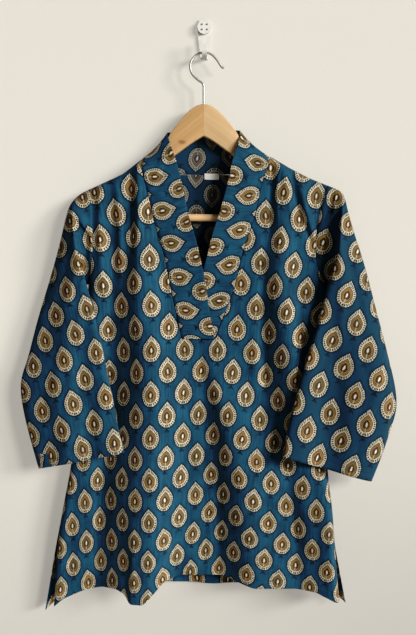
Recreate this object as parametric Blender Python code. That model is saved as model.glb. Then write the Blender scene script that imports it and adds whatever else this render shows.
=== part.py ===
"""A short cotton kurta tunic on a wooden suit hanger, held by a small wall hook.

Metres, +Z up. The origin is the middle of the wall hook's flat back, which lies in the plane y = 0.
The wall is on the +Y side, and everything else hangs on the -Y side, where the viewer stands.
The tables below are in millimetres. "Left" and "right" are the viewer's.
"""

import math

import bmesh
import bpy
import numpy as np

MM = 0.001

# cloth
WALL = 1.4                  # wall of a single layer of cloth, mm
BAND_WALL = 2.0             # wall of the folded collar band, mm
SEAM = 0.8                  # gap between two pieces at their seam, mm
BAND_SEAM = 1.4             # the same where the thicker band is sewn in
ARMHOLE_SEAM = 1.4          # the same where a sleeve turns away from the panels
PLACKET_FOOT_Z = -493.0     # lower end of the neck opening
UNDERARM_Z = -404.0
SIDE_ROLL = 13.0            # width over which the front turns at its side seam
BACK_SIDE_ROLL = 26.0       # the same for the back
SHOULDER_ROLL = 20.0        # drop over which a panel turns at the shoulder seam
SHOULDER_SEAM_Y = -22.5
NECK_FLAT_HALF = 74.0       # half of the back neck that stands flat, without a turn
NECK_BLEND = 24.0           # width over which that turn grows beside it
EDGE_CROWDING = 1.3         # above 1, the columns of a panel draw together at its sides

# hanger
HANGER_X = -1.0             # the hanger's joint and shank, a little off the wall hook
WOOD_Y = -21.0              # middle plane of the wood and of its hook
WOOD_THICK = 12.0
WOOD_EDGE_ROUND = 3.0
FIT_GAP = 0.3               # clear gap between two hard pieces
BAR_Z = -296.0
BAR_RADIUS = 6.0
BAR_TENON_RADIUS = 3.6
BAR_TENON_LENGTH = 12.0
BAR_HALF = 156.0
BAR_SIDES = 20
SOCKET_INSET = 40.0         # how far the socket's round cutter starts inside the bar's shoulder
SOCKET_END_GAP = 0.6
HOLE_SIDES = 16
HOLE_OVERSHOOT = 5.0        # how far a hole's cutter stands out of the wood
HOOK_WIRE_RADIUS = 2.0
HOOK_RING_RADIUS = 23.0
HOOK_RING_Z = -49.9
HOOK_TIP = ((31.5, -52.5), (28.5, -50.5), (25.5, -46.5), (22.5, -41.5))
HOOK_NECK = ((-8.5, -73), (-4, -75.6), (-1.6, -78.5), (-1, -83), (-1, -132))
HOOK_RING_DEGREES = range(36, 240, 12)
HOOK_SOCKET_FOOT = -133.0

# wall hook
PLATE_THICK = 3.5
PLATE_HALF_HEIGHT = 33.0
PLATE_TOP_HALF = 12.0
PLATE_FOOT_HALF = 6.0
PLATE_CORNER = 4.0
JOIN_DEPTH = 2.5            # how far the cap and the prong are sunk into the plate
PRONG_WIDTH = 8.0
PRONG_THICK = 3.4
PRONG_REACH = 30.0
PRONG_TIP_Z = -2.0
PRONG_BEND = 5.0            # inner radius of the prong's turn
PRONG_TURN_STEPS = 6
CAP_RADIUS = 11.5
CAP_Z = 19.0
CAP_THICK = 5.0
CAP_SIDES = 28
PIN_COUNT = 4
PIN_SIDES = 10
PIN_RADIUS = 1.3
PIN_CIRCLE = 6.0
PIN_DEPTH = 3.0
PIN_PROUD = 0.8

# label
LABEL_LEFT = 0.0
LABEL_RIGHT = 24.0
LABEL_TOP_Z = -222.0
LABEL_DROP = 10.0
LABEL_WALL = 1.0
LABEL_LIFT = 1.2            # clear gap between the label and the back, wide enough for a turned panel

# finishes: base colour, roughness, metallic
INDIGO_COTTON = ((0.012, 0.075, 0.165), 0.85, 0)
WOOD_LEFT = ((0.46, 0.24, 0.09), 0.42, 0)
WOOD_RIGHT = ((0.60, 0.36, 0.16), 0.42, 0)
WOOD_BAR = ((0.68, 0.44, 0.22), 0.45, 0)
BRIGHT_STEEL = ((0.62, 0.62, 0.62), 0.25, 1)
PIN_STEEL = ((0.55, 0.55, 0.55), 0.30, 1)
WHITE_PLASTIC = ((0.80, 0.80, 0.78), 0.40, 0)
WHITE_TAPE = ((0.78, 0.77, 0.74), 0.80, 0)


def table(names, *rows):
    """Columns of a short table, each as an array under its name."""
    return dict(zip(names.split(), np.array(rows, dtype=float).T))


# Side edges of the front and back panels, hem to shoulder tip. Above UNDERARM_Z they are armholes.
FRONT_SIDES = table(
    "z left right",
    (-935, -244, 219),
    (-830, -238, 210),
    (-765, -229, 206),
    (-700, -217, 200),
    (-595, -206, 197),
    (-495, -196, 196),
    (-404, -189, 191),
    (-381, -184, 182),
    (-349, -180, 179),
    (-309, -180, 181),
    (-277, -182, 189),
    (-245, -186, 200),
)
BACK_SIDES = table(
    "z left right",
    (-935, -259, 232),
    (-830, -241, 212),
    (-765, -229, 206),
    (-700, -217, 200),
    (-595, -206, 197),
    (-495, -196, 196),
    (-404, -189, 191),
    (-349, -187, 192),
    (-245, -186, 200),
)
FRONT_HEM = table(
    "x z",
    (-244, -926),
    (-230, -913),
    (-200, -899),
    (-165, -891),
    (-142, -891),
    (-128, -897),
    (-119, -911),
    (-98, -912),
    (-88, -902),
    (-67, -881),
    (-40, -873),
    (30, -873),
    (79, -888),
    (145, -889),
    (178, -893),
    (219, -912),
)
BACK_HEM = table(
    "x z",
    (-259, -934),
    (-238, -914),
    (-200, -896),
    (-120, -886),
    (-60, -891),
    (60, -893),
    (120, -888),
    (180, -891),
    (214, -907),
    (232, -922),
)
# Top line of the garment: shoulder seams, with the back neck between the two neck points.
SHOULDER_LINE = table(
    "x z",
    (-186, -250),
    (-162, -239),
    (-132, -225),
    (-100, -200),
    (103, -196),
    (138, -216),
    (170, -232),
    (200, -244),
)
BACK_TOP_LINE = table(
    "x z",
    (-186, -250),
    (-132, -225),
    (-100, -200),
    (-86, -211),
    (-66, -220),
    (-43, -224),
    (43, -224),
    (68, -219),
    (88, -208),
    (103, -196),
    (138, -216),
    (200, -244),
)
# How far forward the front lies: its side edges, and the flat of it.
FRONT_DEPTH = table(
    "z edge flat",
    (-935, -28, -33),
    (-830, -26, -33),
    (-700, -20, -34),
    (-560, -14, -35),
    (-430, -15, -36),
    (-404, -18, -36),
    (-390, -25, -36),
    (-365, -33, -36),
    (-245, -33, -36),
)
BACK_DEPTH = table(
    "z edge flat",
    (-935, -20, -7),
    (-830, -24, -7),
    (-700, -18, -7),
    (-560, -12, -8),
    (-430, -13, -8),
    (-404, -16, -8),
    (-380, -11, -8),
    (-340, -9, -9),
    (-245, -9, -9),
)
# Folds of a panel: where the crest runs, its width to each side and its height at both ends.
FRONT_FOLDS = table(
    "x_top z_top x_low z_low left_width right_width height_top height_low",
    (-104, -215, -98, -520, 22, 70, 6, 12),
    (-98, -520, -98, -915, 46, 86, 0, 14),
    (-150, -330, -160, -900, 30, 22, 0, -4),
    (14, -500, 68, -900, 46, 58, 0, 18),
    (126, -250, 144, -520, 32, 34, 6, 11),
    (144, -520, 196, -830, 46, 34, 0, 12),
    (-212, -380, -214, -650, 56, 56, -9, -9),
    (210, -380, 204, -650, 54, 54, -9, -9),
    (-118, -222, -124, -330, 6, 6, 2.4, 0),
    (-139, -234, -136, -360, 7, 7, 2.6, 0),
    (-158, -240, -152, -340, 7, 7, 2, 0),
    (110, -202, 104, -310, 5, 5, 2.4, 0),
    (124, -212, 120, -330, 6, 6, 2.6, 0),
    (142, -220, 146, -340, 7, 7, 2.8, 0),
    (162, -230, 166, -350, 7, 7, 2.2, 0),
)
BACK_FOLDS = table(
    "x_top z_top x_low z_low left_width right_width height_top height_low",
    (-92, -330, -128, -915, 34, 44, 0, 9),
    (22, -300, 14, -905, 46, 38, 0, 7),
    (104, -340, 128, -905, 40, 34, 0, 9),
)
# Stations of a sleeve, armhole to cuff: outer edge, front fold and underarm side, with their depths.
SLEEVE_NAMES = "outer_x outer_z outer_y fold_x fold_z fold_y under_x under_z under_y front_puff back_puff"
SLEEVE_LEFT = table(
    SLEEVE_NAMES,
    (-194, -253, -22, -187, -324, -30, -195, -408, -19, 6, 10),
    (-206, -261, -21, -200, -308, -33, -199, -414, -21, 8, 12),
    (-218, -275, -20, -210, -300, -41, -201, -423, -25, 8, 11),
    (-226, -298, -19, -207, -326, -44, -199, -434, -30, 10, 9),
    (-236, -340, -19, -197, -372, -45, -191, -449, -36, 11, 7),
    (-252, -398, -20, -182, -426, -48, -179, -468, -43, 11, 5),
    (-270, -460, -24, -167, -488, -54, -166, -494, -47, 10, 4),
    (-285, -520, -27, -154, -550, -58, -153, -552, -52, 9, 4),
    (-297, -566, -30, -144, -596, -61, -143, -597, -55, 9, 4),
    (-289, -622, -33, -136, -638, -64, -135, -638, -58, 9, 4),
    (-267, -701, -36, -127, -671, -68, -126, -671, -62, 9, 4),
)
SLEEVE_RIGHT = table(
    SLEEVE_NAMES,
    (209, -247, -22, 200, -306, -30, 198, -408, -19, 6, 10),
    (219, -252, -21, 210, -293, -33, 203, -414, -21, 8, 12),
    (227, -261, -20, 219, -287, -41, 204, -422, -25, 8, 11),
    (233, -284, -19, 217, -308, -44, 202, -432, -30, 10, 9),
    (244, -322, -19, 211, -352, -45, 195, -445, -36, 11, 7),
    (261, -376, -20, 198, -402, -49, 187, -461, -43, 11, 5),
    (281, -456, -25, 179, -474, -57, 176, -482, -49, 10, 4),
    (294, -507, -28, 163, -523, -62, 162, -526, -55, 9, 4),
    (311, -590, -31, 141, -600, -67, 140, -601, -60, 9, 4),
    (298, -646, -34, 130, -647, -70, 129, -647, -63, 9, 4),
    (269, -721, -37, 124, -677, -73, 123, -677, -66, 9, 4),
)
# The collar band from its left foot, round the neck, to its right foot. The seam edge is sewn down.
# In front, both depths are counted from the front panel's surface; behind, from the wall.
BAND_LEFT = table(
    "seam_x seam_z free_x free_z free_rise",
    (-36, -493, 15, -493, 3.6),
    (-48, -440, 6, -438, 4.5),
    (-57, -397, -1, -392, 5),
    (-67, -350, -12, -342, 6),
    (-80, -307, -26, -293, 6),
    (-92, -254, -37, -243, 6),
    (-100, -222, -45, -210, 5),
    (-100, -209, -53, -186, 0),
)
BAND_RIGHT = table(
    "seam_x seam_z free_x free_z free_rise",
    (16, -493, -31, -493, -3.2),
    (33, -450, -20, -450, -3),
    (48, -410, -8, -405, -1),
    (60, -360, 4, -362, 2),
    (72, -321, 14, -322, 4),
    (83, -287, 27, -283, 5),
    (94, -237, 40, -233, 6),
    (102, -217, 46, -204, 5),
    (103, -205, 54, -181, 0),
)
BAND_BEHIND = table(
    "seam_x seam_z seam_y free_x free_z free_y",
    (-99, -199, -22, -60, -161, -22),
    (-90, -206, -13, -57, -156, -13),
    (-68, -219.5, -10, -44, -154, -9),
    (-40, -223.8, -9, -26, -153, -8),
    (40, -223.8, -9, 26, -152, -8),
    (70, -218.5, -10, 46, -152, -9),
    (93, -203, -13, 57, -153, -13),
    (102, -195, -22, 58, -158, -22),
)
# Outline of one arm of the hanger, from the middle joint over the top and back underneath.
ARM_OUTLINE = table(
    "out z",
    (0, -113),
    (14, -116),
    (30, -129),
    (44, -147),
    (54, -164),
    (72, -187),
    (100, -213),
    (132, -235),
    (165, -252),
    (189, -265),
    (196, -279),
    (196, -296),
    (189, -307),
    (176, -307),
    (160, -292),
    (135, -266),
    (100, -235),
    (49, -196),
    (20, -174),
    (0, -163),
)

FRONT_SIDE_COLUMNS = 20
FRONT_MIDDLE_COLUMNS = 5
FRONT_LOWER_ROWS = 18
FRONT_CHEST_ROWS = 4
BACK_COLUMNS = 24
BACK_LOWER_ROWS = 11
SLEEVE_STATIONS = 18
SLEEVE_FRONT_STEPS = 8
SLEEVE_UNDER_STEPS = 3
SLEEVE_BACK_STEPS = 8
BACK_LEAN = 1.1             # sideways share of the bulge of a sleeve's back
BACK_PUFF_EASE = 0.5        # how much that bulge has lost at the outer edge
FOLD_SHARE = 0.58           # share of the armhole's front that lies above the sleeve's front fold
BAND_STATIONS = 46
BAND_STEPS = 4
BAND_SAG = 2.5              # how far the standing collar bows down between its two edges
BAND_LEAN = 1.0             # sideways gap between the collar and the back at the neck


def read(data, key, value, at):
    """Value column of a table at given places of its key column, straight between the rows."""
    order = np.argsort(data[key])
    return np.interp(at, data[key][order], data[value][order])


def resample(rows, count):
    """Rows of points, evenly spread along a smooth curve through the given rows."""
    rows = np.asarray(rows, dtype=float)
    padded = np.vstack((2 * rows[0] - rows[1], rows, 2 * rows[-1] - rows[-2]))
    steps = np.linspace(0, len(rows) - 1, count)
    result = []
    for step in steps:
        start = min(int(step), len(rows) - 2)
        t = step - start
        before, here, after, beyond = padded[start:start + 4]
        linear = (after - before) * t
        square = (2 * before - 5 * here + 4 * after - beyond) * t ** 2
        cube = (3 * here - before - 3 * after + beyond) * t ** 3
        result.append(here + 0.5 * (linear + square + cube))
    return np.array(result)


def turn(distance, width):
    """0 at a turned edge, 1 beyond the given width, following a quarter round."""
    reach = np.clip(distance / width, 0, 1)
    return np.sqrt(1 - (1 - reach) ** 2)


def fold_height(folds, x, z):
    """Sum of a panel's folds at x, z. Left and right of its crest a fold has its own width."""
    total = np.zeros(np.broadcast(x, z).shape)
    for row in range(len(folds["x_top"])):
        fold = {name: column[row] for name, column in folds.items()}
        along = np.clip((fold["z_top"] - z) / (fold["z_top"] - fold["z_low"]), 0, 1)
        crest = fold["x_top"] + (fold["x_low"] - fold["x_top"]) * along
        height = fold["height_top"] + (fold["height_low"] - fold["height_top"]) * along
        width = np.where(x < crest, fold["left_width"], fold["right_width"])
        across = np.clip((x - crest) / width, -1, 1)
        total = total + height * np.cos(0.5 * math.pi * across) ** 2
    return total


def front_flat_y(x, z):
    """Depth of the front panel away from its side seams."""
    return read(FRONT_DEPTH, "z", "flat", z) - fold_height(FRONT_FOLDS, x, z)


def shoulder_turned(y, x, z):
    """Depth of a panel that turns over the shoulder towards its seam."""
    drop = read(SHOULDER_LINE, "x", "z", x) - z
    return SHOULDER_SEAM_Y + (y - SHOULDER_SEAM_Y) * turn(drop, SHOULDER_ROLL)


def front_y(x, z):
    """Depth of the front panel at x, z, with its turned sides and shoulders."""
    left = read(FRONT_SIDES, "z", "left", z)
    right = read(FRONT_SIDES, "z", "right", z)
    inward = np.minimum(x - left, right - x)
    edge = read(FRONT_DEPTH, "z", "edge", z)
    y = edge + (front_flat_y(x, z) - edge) * turn(inward, SIDE_ROLL)
    return shoulder_turned(y, x, z) - SEAM / 2


def back_y(x, z):
    """Depth of the back panel at x, z. Its neck edge stays flat."""
    left = read(BACK_SIDES, "z", "left", z)
    right = read(BACK_SIDES, "z", "right", z)
    inward = np.minimum(x - left, right - x)
    edge = read(BACK_DEPTH, "z", "edge", z)
    flat = read(BACK_DEPTH, "z", "flat", z) - fold_height(BACK_FOLDS, x, z)
    y = edge + (flat - edge) * turn(inward, BACK_SIDE_ROLL)
    turned = shoulder_turned(y, x, z)
    on_shoulder = np.clip((np.abs(x) - NECK_FLAT_HALF) / NECK_BLEND, 0, 1)
    return y + (turned - y) * on_shoulder + SEAM / 2


def finished(name, finish):
    """A material for one piece, from one row of the finishes."""
    colour, roughness, metallic = finish
    material = bpy.data.materials.new(name)
    material.use_nodes = True
    shader = material.node_tree.nodes["Principled BSDF"]
    shader.inputs["Base Color"].default_value = (*colour, 1)
    shader.inputs["Roughness"].default_value = roughness
    shader.inputs["Metallic"].default_value = metallic
    return material


def place(name, mesh_data, material):
    """Puts a finished mesh in the scene as one named piece."""
    piece = bpy.data.objects.new(name, mesh_data)
    bpy.context.scene.collection.objects.link(piece)
    piece.data.materials.append(material)
    return piece


def mesh_from(name, points, faces):
    """A mesh from points in millimetres."""
    data = bpy.data.meshes.new(name)
    data.from_pydata([tuple(MM * np.asarray(point)) for point in points], [], faces)
    data.update()
    return data


def cloth_piece(name, points, faces, wall, finish=INDIGO_COTTON):
    """A piece of cloth: a surface with half its wall on each side."""
    piece = place(name, mesh_from(name, points, faces), finished(name, finish))
    solid = piece.modifiers.new("wall", "SOLIDIFY")
    solid.thickness = wall * MM
    solid.offset = 0
    solid.use_rim = True
    return piece


def grid_faces(first, rows, columns, closed=False):
    """Quads between rows of points that are stored one after the other from index first."""
    faces = []
    for row in range(rows - 1):
        for column in range(columns if closed else columns - 1):
            after = (column + 1) % columns
            near = first + row * columns
            far = near + columns
            faces.append((near + column, near + after, far + after, far + column))
    return faces


def ends_spread(count):
    """Fractions 0 to 1, closer together at both ends."""
    return 0.5 - 0.5 * np.cos(math.pi * np.linspace(0, 1, count + 1))


def front_armhole_levels():
    """Fractions from the underarm (0) to the shoulder tip (1), one for each step of a sleeve ring."""
    under = np.linspace(0, 1 - FOLD_SHARE, SLEEVE_UNDER_STEPS + 1)
    front = 1 - FOLD_SHARE + FOLD_SHARE * ends_spread(SLEEVE_FRONT_STEPS)
    return np.concatenate((under, front[1:]))


def outer_spread(count):
    """Fractions from an outer edge (0) inwards (1), closer together at the edge."""
    return np.linspace(0, 1, count + 1) ** EDGE_CROWDING


def build_front():
    """The front, cut in one piece, split above the foot of the placket."""
    foot_left = BAND_LEFT["seam_x"][0]
    foot_right = BAND_RIGHT["seam_x"][0]
    side_left = read(FRONT_SIDES, "z", "left", PLACKET_FOOT_Z)
    side_right = read(FRONT_SIDES, "z", "right", PLACKET_FOOT_Z)
    left = side_left + (foot_left - side_left) * outer_spread(FRONT_SIDE_COLUMNS)
    middle = np.linspace(foot_left, foot_right, FRONT_MIDDLE_COLUMNS + 1)[1:-1]
    right = side_right + (foot_right - side_right) * outer_spread(FRONT_SIDE_COLUMNS)[::-1]
    across = (np.concatenate((left, middle, right)) - side_left) / (side_right - side_left)

    points = []
    hem_left = read(FRONT_SIDES, "z", "left", FRONT_HEM["z"][0])
    hem_right = read(FRONT_SIDES, "z", "right", FRONT_HEM["z"][-1])
    hem_z = read(FRONT_HEM, "x", "z", hem_left + (hem_right - hem_left) * across)
    for up in np.linspace(0, 1, FRONT_LOWER_ROWS + 1):
        z = hem_z + (PLACKET_FOOT_Z - hem_z) * up
        edge_left = read(FRONT_SIDES, "z", "left", z)
        edge_right = read(FRONT_SIDES, "z", "right", z)
        x = edge_left + (edge_right - edge_left) * across
        points += list(zip(x, front_y(x, z), z))
    columns = len(across)
    faces = grid_faces(0, FRONT_LOWER_ROWS + 1, columns)

    top_row = FRONT_LOWER_ROWS * columns
    chest = np.linspace(0, 1, FRONT_CHEST_ROWS + 1)[1:]
    armhole = front_armhole_levels()[1:]
    for side, band, first_column in (
        ("left", BAND_LEFT, 0),
        ("right", BAND_RIGHT, FRONT_SIDE_COLUMNS + FRONT_MIDDLE_COLUMNS),
    ):
        neck = neck_edge(side)
        inward = outer_spread(FRONT_SIDE_COLUMNS)
        if side == "right":
            inward = inward[::-1]
        start = len(points)
        tip_z = SHOULDER_LINE["z"][0 if side == "left" else -1]
        top_x = read(FRONT_SIDES, "z", side, tip_z) * (1 - inward) + neck["x"][-1] * inward
        bow = read(SHOULDER_LINE, "x", "z", top_x) - (tip_z * (1 - inward) + neck["z"][-1] * inward)
        levels = np.concatenate((
            PLACKET_FOOT_Z + (UNDERARM_Z - PLACKET_FOOT_Z) * chest,
            UNDERARM_Z + (tip_z - UNDERARM_Z) * armhole,
        ))
        for outer_z in levels:
            up = (outer_z - PLACKET_FOOT_Z) / (tip_z - PLACKET_FOOT_Z)
            outer_x = read(FRONT_SIDES, "z", side, outer_z)
            inner_z = PLACKET_FOOT_Z + (neck["z"][-1] - PLACKET_FOOT_Z) * up
            inner_x = np.interp(inner_z, neck["z"], neck["x"])
            x = outer_x + (inner_x - outer_x) * inward
            z = outer_z + (inner_z - outer_z) * inward + bow * up ** 2
            points += list(zip(x, front_y(x, z), z))
        width = FRONT_SIDE_COLUMNS + 1
        for column in range(FRONT_SIDE_COLUMNS):
            below = top_row + first_column + column
            faces.append((below, below + 1, start + column + 1, start + column))
        faces += grid_faces(start, len(levels), width)
    return cloth_piece("front", points, faces, WALL)


def neck_edge(side):
    """Edge of the front along the band, from the placket's foot to the neck point."""
    band = BAND_LEFT if side == "left" else BAND_RIGHT
    neck_x = band["seam_x"][-1]
    neck_z = read(SHOULDER_LINE, "x", "z", neck_x)
    return {"x": np.append(band["seam_x"], neck_x), "z": np.append(band["seam_z"], neck_z)}


def build_back():
    """The back, cut in one piece."""
    half = outer_spread(BACK_COLUMNS // 2) / 2
    across = np.concatenate((half, 1 - half[-2::-1]))
    hem_left = BACK_HEM["x"][0]
    hem_right = BACK_HEM["x"][-1]
    hem_z = read(BACK_HEM, "x", "z", hem_left + (hem_right - hem_left) * across)
    tip_left = BACK_TOP_LINE["x"][0]
    tip_right = BACK_TOP_LINE["x"][-1]
    top_x = tip_left + (tip_right - tip_left) * across
    top_z = read(BACK_TOP_LINE, "x", "z", top_x)
    neck_left = BAND_LEFT["seam_x"][-1]
    neck_right = BAND_RIGHT["seam_x"][-1]
    top_z = top_z - np.where((top_x > neck_left) & (top_x < neck_right), SEAM, 0)

    points = []
    lower = np.linspace(0, 1, BACK_LOWER_ROWS + 1)
    upper = ends_spread(SLEEVE_BACK_STEPS)[1:]
    for up in lower:
        z = hem_z + (UNDERARM_Z - hem_z) * up
        points += back_row(across, z)
    for up in upper:
        z = UNDERARM_Z + (top_z - UNDERARM_Z) * up
        points += back_row(across, z)
    faces = grid_faces(0, BACK_LOWER_ROWS + SLEEVE_BACK_STEPS + 1, len(across))
    faces = [face[::-1] for face in faces]
    return cloth_piece("back", points, faces, WALL)


def back_row(across, z):
    """One row of the back, between its two side edges."""
    left = read(BACK_SIDES, "z", "left", z)
    right = read(BACK_SIDES, "z", "right", z)
    x = left + (right - left) * across
    return list(zip(x, back_y(x, z), z))


def puff(t):
    """A soft bulge between 0 and 1 that is 0 at both ends."""
    return np.sqrt(1 - (1 - 2 * t) ** 4)


def armhole_ring(side):
    """The sleeve's first ring, one seam gap outside the panels' armhole edges."""
    outward = -1 if side == "left" else 1
    tip = SHOULDER_LINE["z"][0 if side == "left" else -1]
    front_down = front_armhole_levels()[::-1]
    back_up = ends_spread(SLEEVE_BACK_STEPS)[1:-1]
    ring = []
    for up in front_down:
        z = UNDERARM_Z + (tip - UNDERARM_Z) * up
        x = read(FRONT_SIDES, "z", side, z)
        ring.append((x + outward * ARMHOLE_SEAM, front_y(x, z), z))
    for up in back_up:
        z = UNDERARM_Z + (tip - UNDERARM_Z) * up
        x = read(BACK_SIDES, "z", side, z)
        ring.append((x + outward * ARMHOLE_SEAM, back_y(x, z), z))
    return ring


def sleeve_ring(row, outward):
    """A ring of the sleeve: front from outer edge to fold, then underarm side, then back."""
    outer_x, outer_z, outer_y, fold_x, fold_z, fold_y, under_x, under_z, under_y, front, back = row
    outer = np.array((outer_x, outer_y, outer_z))
    fold = np.array((fold_x, fold_y, fold_z))
    under = np.array((under_x, under_y, under_z))
    forward = np.array((0, -front, 0))
    behind = np.array((outward * BACK_LEAN * back, back, 0))
    ring = []
    for t in ends_spread(SLEEVE_FRONT_STEPS)[:-1]:
        ring.append(outer + (fold - outer) * t + forward * puff(t))
    for t in np.linspace(0, 1, SLEEVE_UNDER_STEPS + 1):
        ring.append(fold + (under - fold) * t)
    for t in ends_spread(SLEEVE_BACK_STEPS)[1:-1]:
        ring.append(under + (outer - under) * t + behind * puff(t) * (1 - BACK_PUFF_EASE * t))
    return ring


def build_sleeve(side):
    """A three-quarter sleeve, as an open tube from the armhole seam to the cuff."""
    data = SLEEVE_LEFT if side == "left" else SLEEVE_RIGHT
    rows = np.array([data[name] for name in SLEEVE_NAMES.split()]).T
    outward = -1 if side == "left" else 1
    rings = [armhole_ring(side)]
    rings += [sleeve_ring(row, outward) for row in resample(rows, SLEEVE_STATIONS)]
    around = len(rings[0])
    points = [point for ring in rings for point in ring]
    faces = grid_faces(0, len(rings), around, closed=True)
    if side == "left":
        faces = [face[::-1] for face in faces]
    return cloth_piece("sleeve_" + side, points, faces, WALL)


def band_rows():
    """Seam and free edge of the collar band at each of its stations, foot to foot."""
    rows = []
    for data, direction, inward in ((BAND_LEFT, 1, 1), (BAND_RIGHT, -1, -1)):
        side = []
        for seam_x, seam_z, free_x, free_z, rise in zip(*data.values()):
            seam_y = front_y(seam_x, seam_z)
            free_y = front_flat_y(free_x, free_z) - rise
            side.append((seam_x + inward * BAND_SEAM, seam_y, seam_z, free_x, free_y, free_z))
        rows.append(side[::direction])
    behind = []
    for seam_x, seam_z, seam_y, free_x, free_z, free_y in zip(*BAND_BEHIND.values()):
        lean = BAND_LEAN if seam_x < 0 else -BAND_LEAN
        behind.append((seam_x + lean, seam_y, seam_z + SEAM, free_x, free_y, free_z))
    return rows[0] + behind + rows[1]


def build_band():
    """The collar band: one folded strip round the neck, its left end lapped over its right."""
    points = []
    stations = resample(band_rows(), BAND_STATIONS)
    for station in stations:
        seam = station[:3]
        free = station[3:]
        for t in np.linspace(0, 1, BAND_STEPS + 1):
            sag = np.array((0, 0, -4 * BAND_SAG * t * (1 - t)))
            points.append(seam + (free - seam) * t + sag)
    points = np.array(points)
    foot = PLACKET_FOOT_Z + SEAM
    points[:, 2] = np.maximum(points[:, 2], foot)
    faces = grid_faces(0, BAND_STATIONS, BAND_STEPS + 1)
    return cloth_piece("collar_band", points, faces, BAND_WALL)


def build_label():
    """The blank neck label, sewn at the back neck and lying on the back."""
    across = np.linspace(LABEL_LEFT, LABEL_RIGHT, 3)
    points = []
    for z in (LABEL_TOP_Z - LABEL_DROP, LABEL_TOP_Z):
        for x in across:
            lift = (WALL + LABEL_WALL) / 2 + LABEL_LIFT
            points.append((x, back_y(x, z) - lift, z))
    return cloth_piece("neck_label", points, grid_faces(0, 2, 3), LABEL_WALL, WHITE_TAPE)


def turn_outward(data):
    """Turns all faces of a closed mesh outwards."""
    shape = bmesh.new()
    shape.from_mesh(data)
    bmesh.ops.recalc_face_normals(shape, faces=shape.faces)
    shape.to_mesh(data)
    shape.free()


def prism(name, outline, y_front, y_back, material):
    """A plate: an x-z outline in millimetres between two depths."""
    count = len(outline)
    points = [(x, y_front, z) for x, z in outline] + [(x, y_back, z) for x, z in outline]
    faces = [tuple(range(count)), tuple(range(2 * count - 1, count - 1, -1))]
    for index in range(count):
        after = (index + 1) % count
        faces.append((index, index + count, after + count, after))
    data = mesh_from(name, points, faces)
    turn_outward(data)
    return place(name, data, material)


def round_edges(piece, width):
    """Rounds the sharp edges of a piece."""
    bevel = piece.modifiers.new("round", "BEVEL")
    bevel.width = width * MM
    bevel.segments = 2
    bevel.limit_method = "ANGLE"
    bevel.angle_limit = math.radians(50)


def cylinder(name, radius, ends, centre, axis, sides, material):
    """A round bar between two places along an axis. Its centre is given in the other two."""
    start, end = ends
    points = []
    for place_along in (start, end):
        for step in range(sides):
            angle = 2 * math.pi * step / sides
            ring = (radius * math.cos(angle), radius * math.sin(angle))
            across = (centre[0] + ring[0], centre[1] + ring[1])
            point = {
                "x": (place_along, across[0], across[1]),
                "y": (across[0], place_along, across[1]),
                "z": (across[0], across[1], place_along),
            }
            points.append(point[axis])
    faces = [tuple(range(sides)), tuple(range(sides, 2 * sides))]
    for step in range(sides):
        after = (step + 1) % sides
        faces.append((step, after, sides + after, sides + step))
    data = mesh_from(name, points, faces)
    turn_outward(data)
    return place(name, data, material)


def build_arms():
    """The two arms of the hanger, glued at a centre joint and socketed for the bar."""
    for side, outward, finish in (("left", -1, WOOD_LEFT), ("right", 1, WOOD_RIGHT)):
        outline = []
        for out, z in zip(ARM_OUTLINE["out"], ARM_OUTLINE["z"]):
            outline.append((HANGER_X + outward * (out + FIT_GAP / 2), z))
        name = "hanger_arm_" + side
        wood = finished(name, finish)
        arm = prism(name, outline, WOOD_Y - WOOD_THICK / 2, WOOD_Y + WOOD_THICK / 2, wood)
        round_edges(arm, WOOD_EDGE_ROUND)
        reach = BAR_HALF + BAR_TENON_LENGTH + SOCKET_END_GAP
        ends = (HANGER_X + outward * (BAR_HALF - SOCKET_INSET), HANGER_X + outward * reach)
        radius = BAR_TENON_RADIUS + FIT_GAP
        cut_with(arm, cylinder("socket_" + side, radius, ends, (WOOD_Y, BAR_Z), "x", HOLE_SIDES, wood))
        ends = (HOOK_SOCKET_FOOT, ARM_OUTLINE["z"][0] + HOLE_OVERSHOOT)
        radius = HOOK_WIRE_RADIUS + FIT_GAP
        hole = cylinder("shank_hole_" + side, radius, ends, (HANGER_X, WOOD_Y), "z", HOLE_SIDES, wood)
        cut_with(arm, hole)


def cut_with(piece, cutter):
    """Cuts one piece with another, which stays as a hidden guide."""
    cutter.hide_render = True
    cutter.display_type = "WIRE"
    cut = piece.modifiers.new("cut", "BOOLEAN")
    cut.operation = "DIFFERENCE"
    cut.object = cutter


def build_bar():
    """The trouser bar: a round rod with a thinner tenon at each end."""
    profile = (
        (-BAR_HALF - BAR_TENON_LENGTH, BAR_TENON_RADIUS),
        (-BAR_HALF, BAR_TENON_RADIUS),
        (-BAR_HALF, BAR_RADIUS),
        (BAR_HALF, BAR_RADIUS),
        (BAR_HALF, BAR_TENON_RADIUS),
        (BAR_HALF + BAR_TENON_LENGTH, BAR_TENON_RADIUS),
    )
    points = []
    for x, radius in profile:
        for step in range(BAR_SIDES):
            angle = 2 * math.pi * step / BAR_SIDES
            y = WOOD_Y + radius * math.cos(angle)
            points.append((HANGER_X + x, y, BAR_Z + radius * math.sin(angle)))
    faces = grid_faces(0, len(profile), BAR_SIDES, closed=True)
    faces.append(tuple(range(BAR_SIDES)))
    faces.append(tuple(range(len(points) - BAR_SIDES, len(points))))
    data = mesh_from("trouser_bar", points, faces)
    turn_outward(data)
    return place("trouser_bar", data, finished("trouser_bar", WOOD_BAR))


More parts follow.
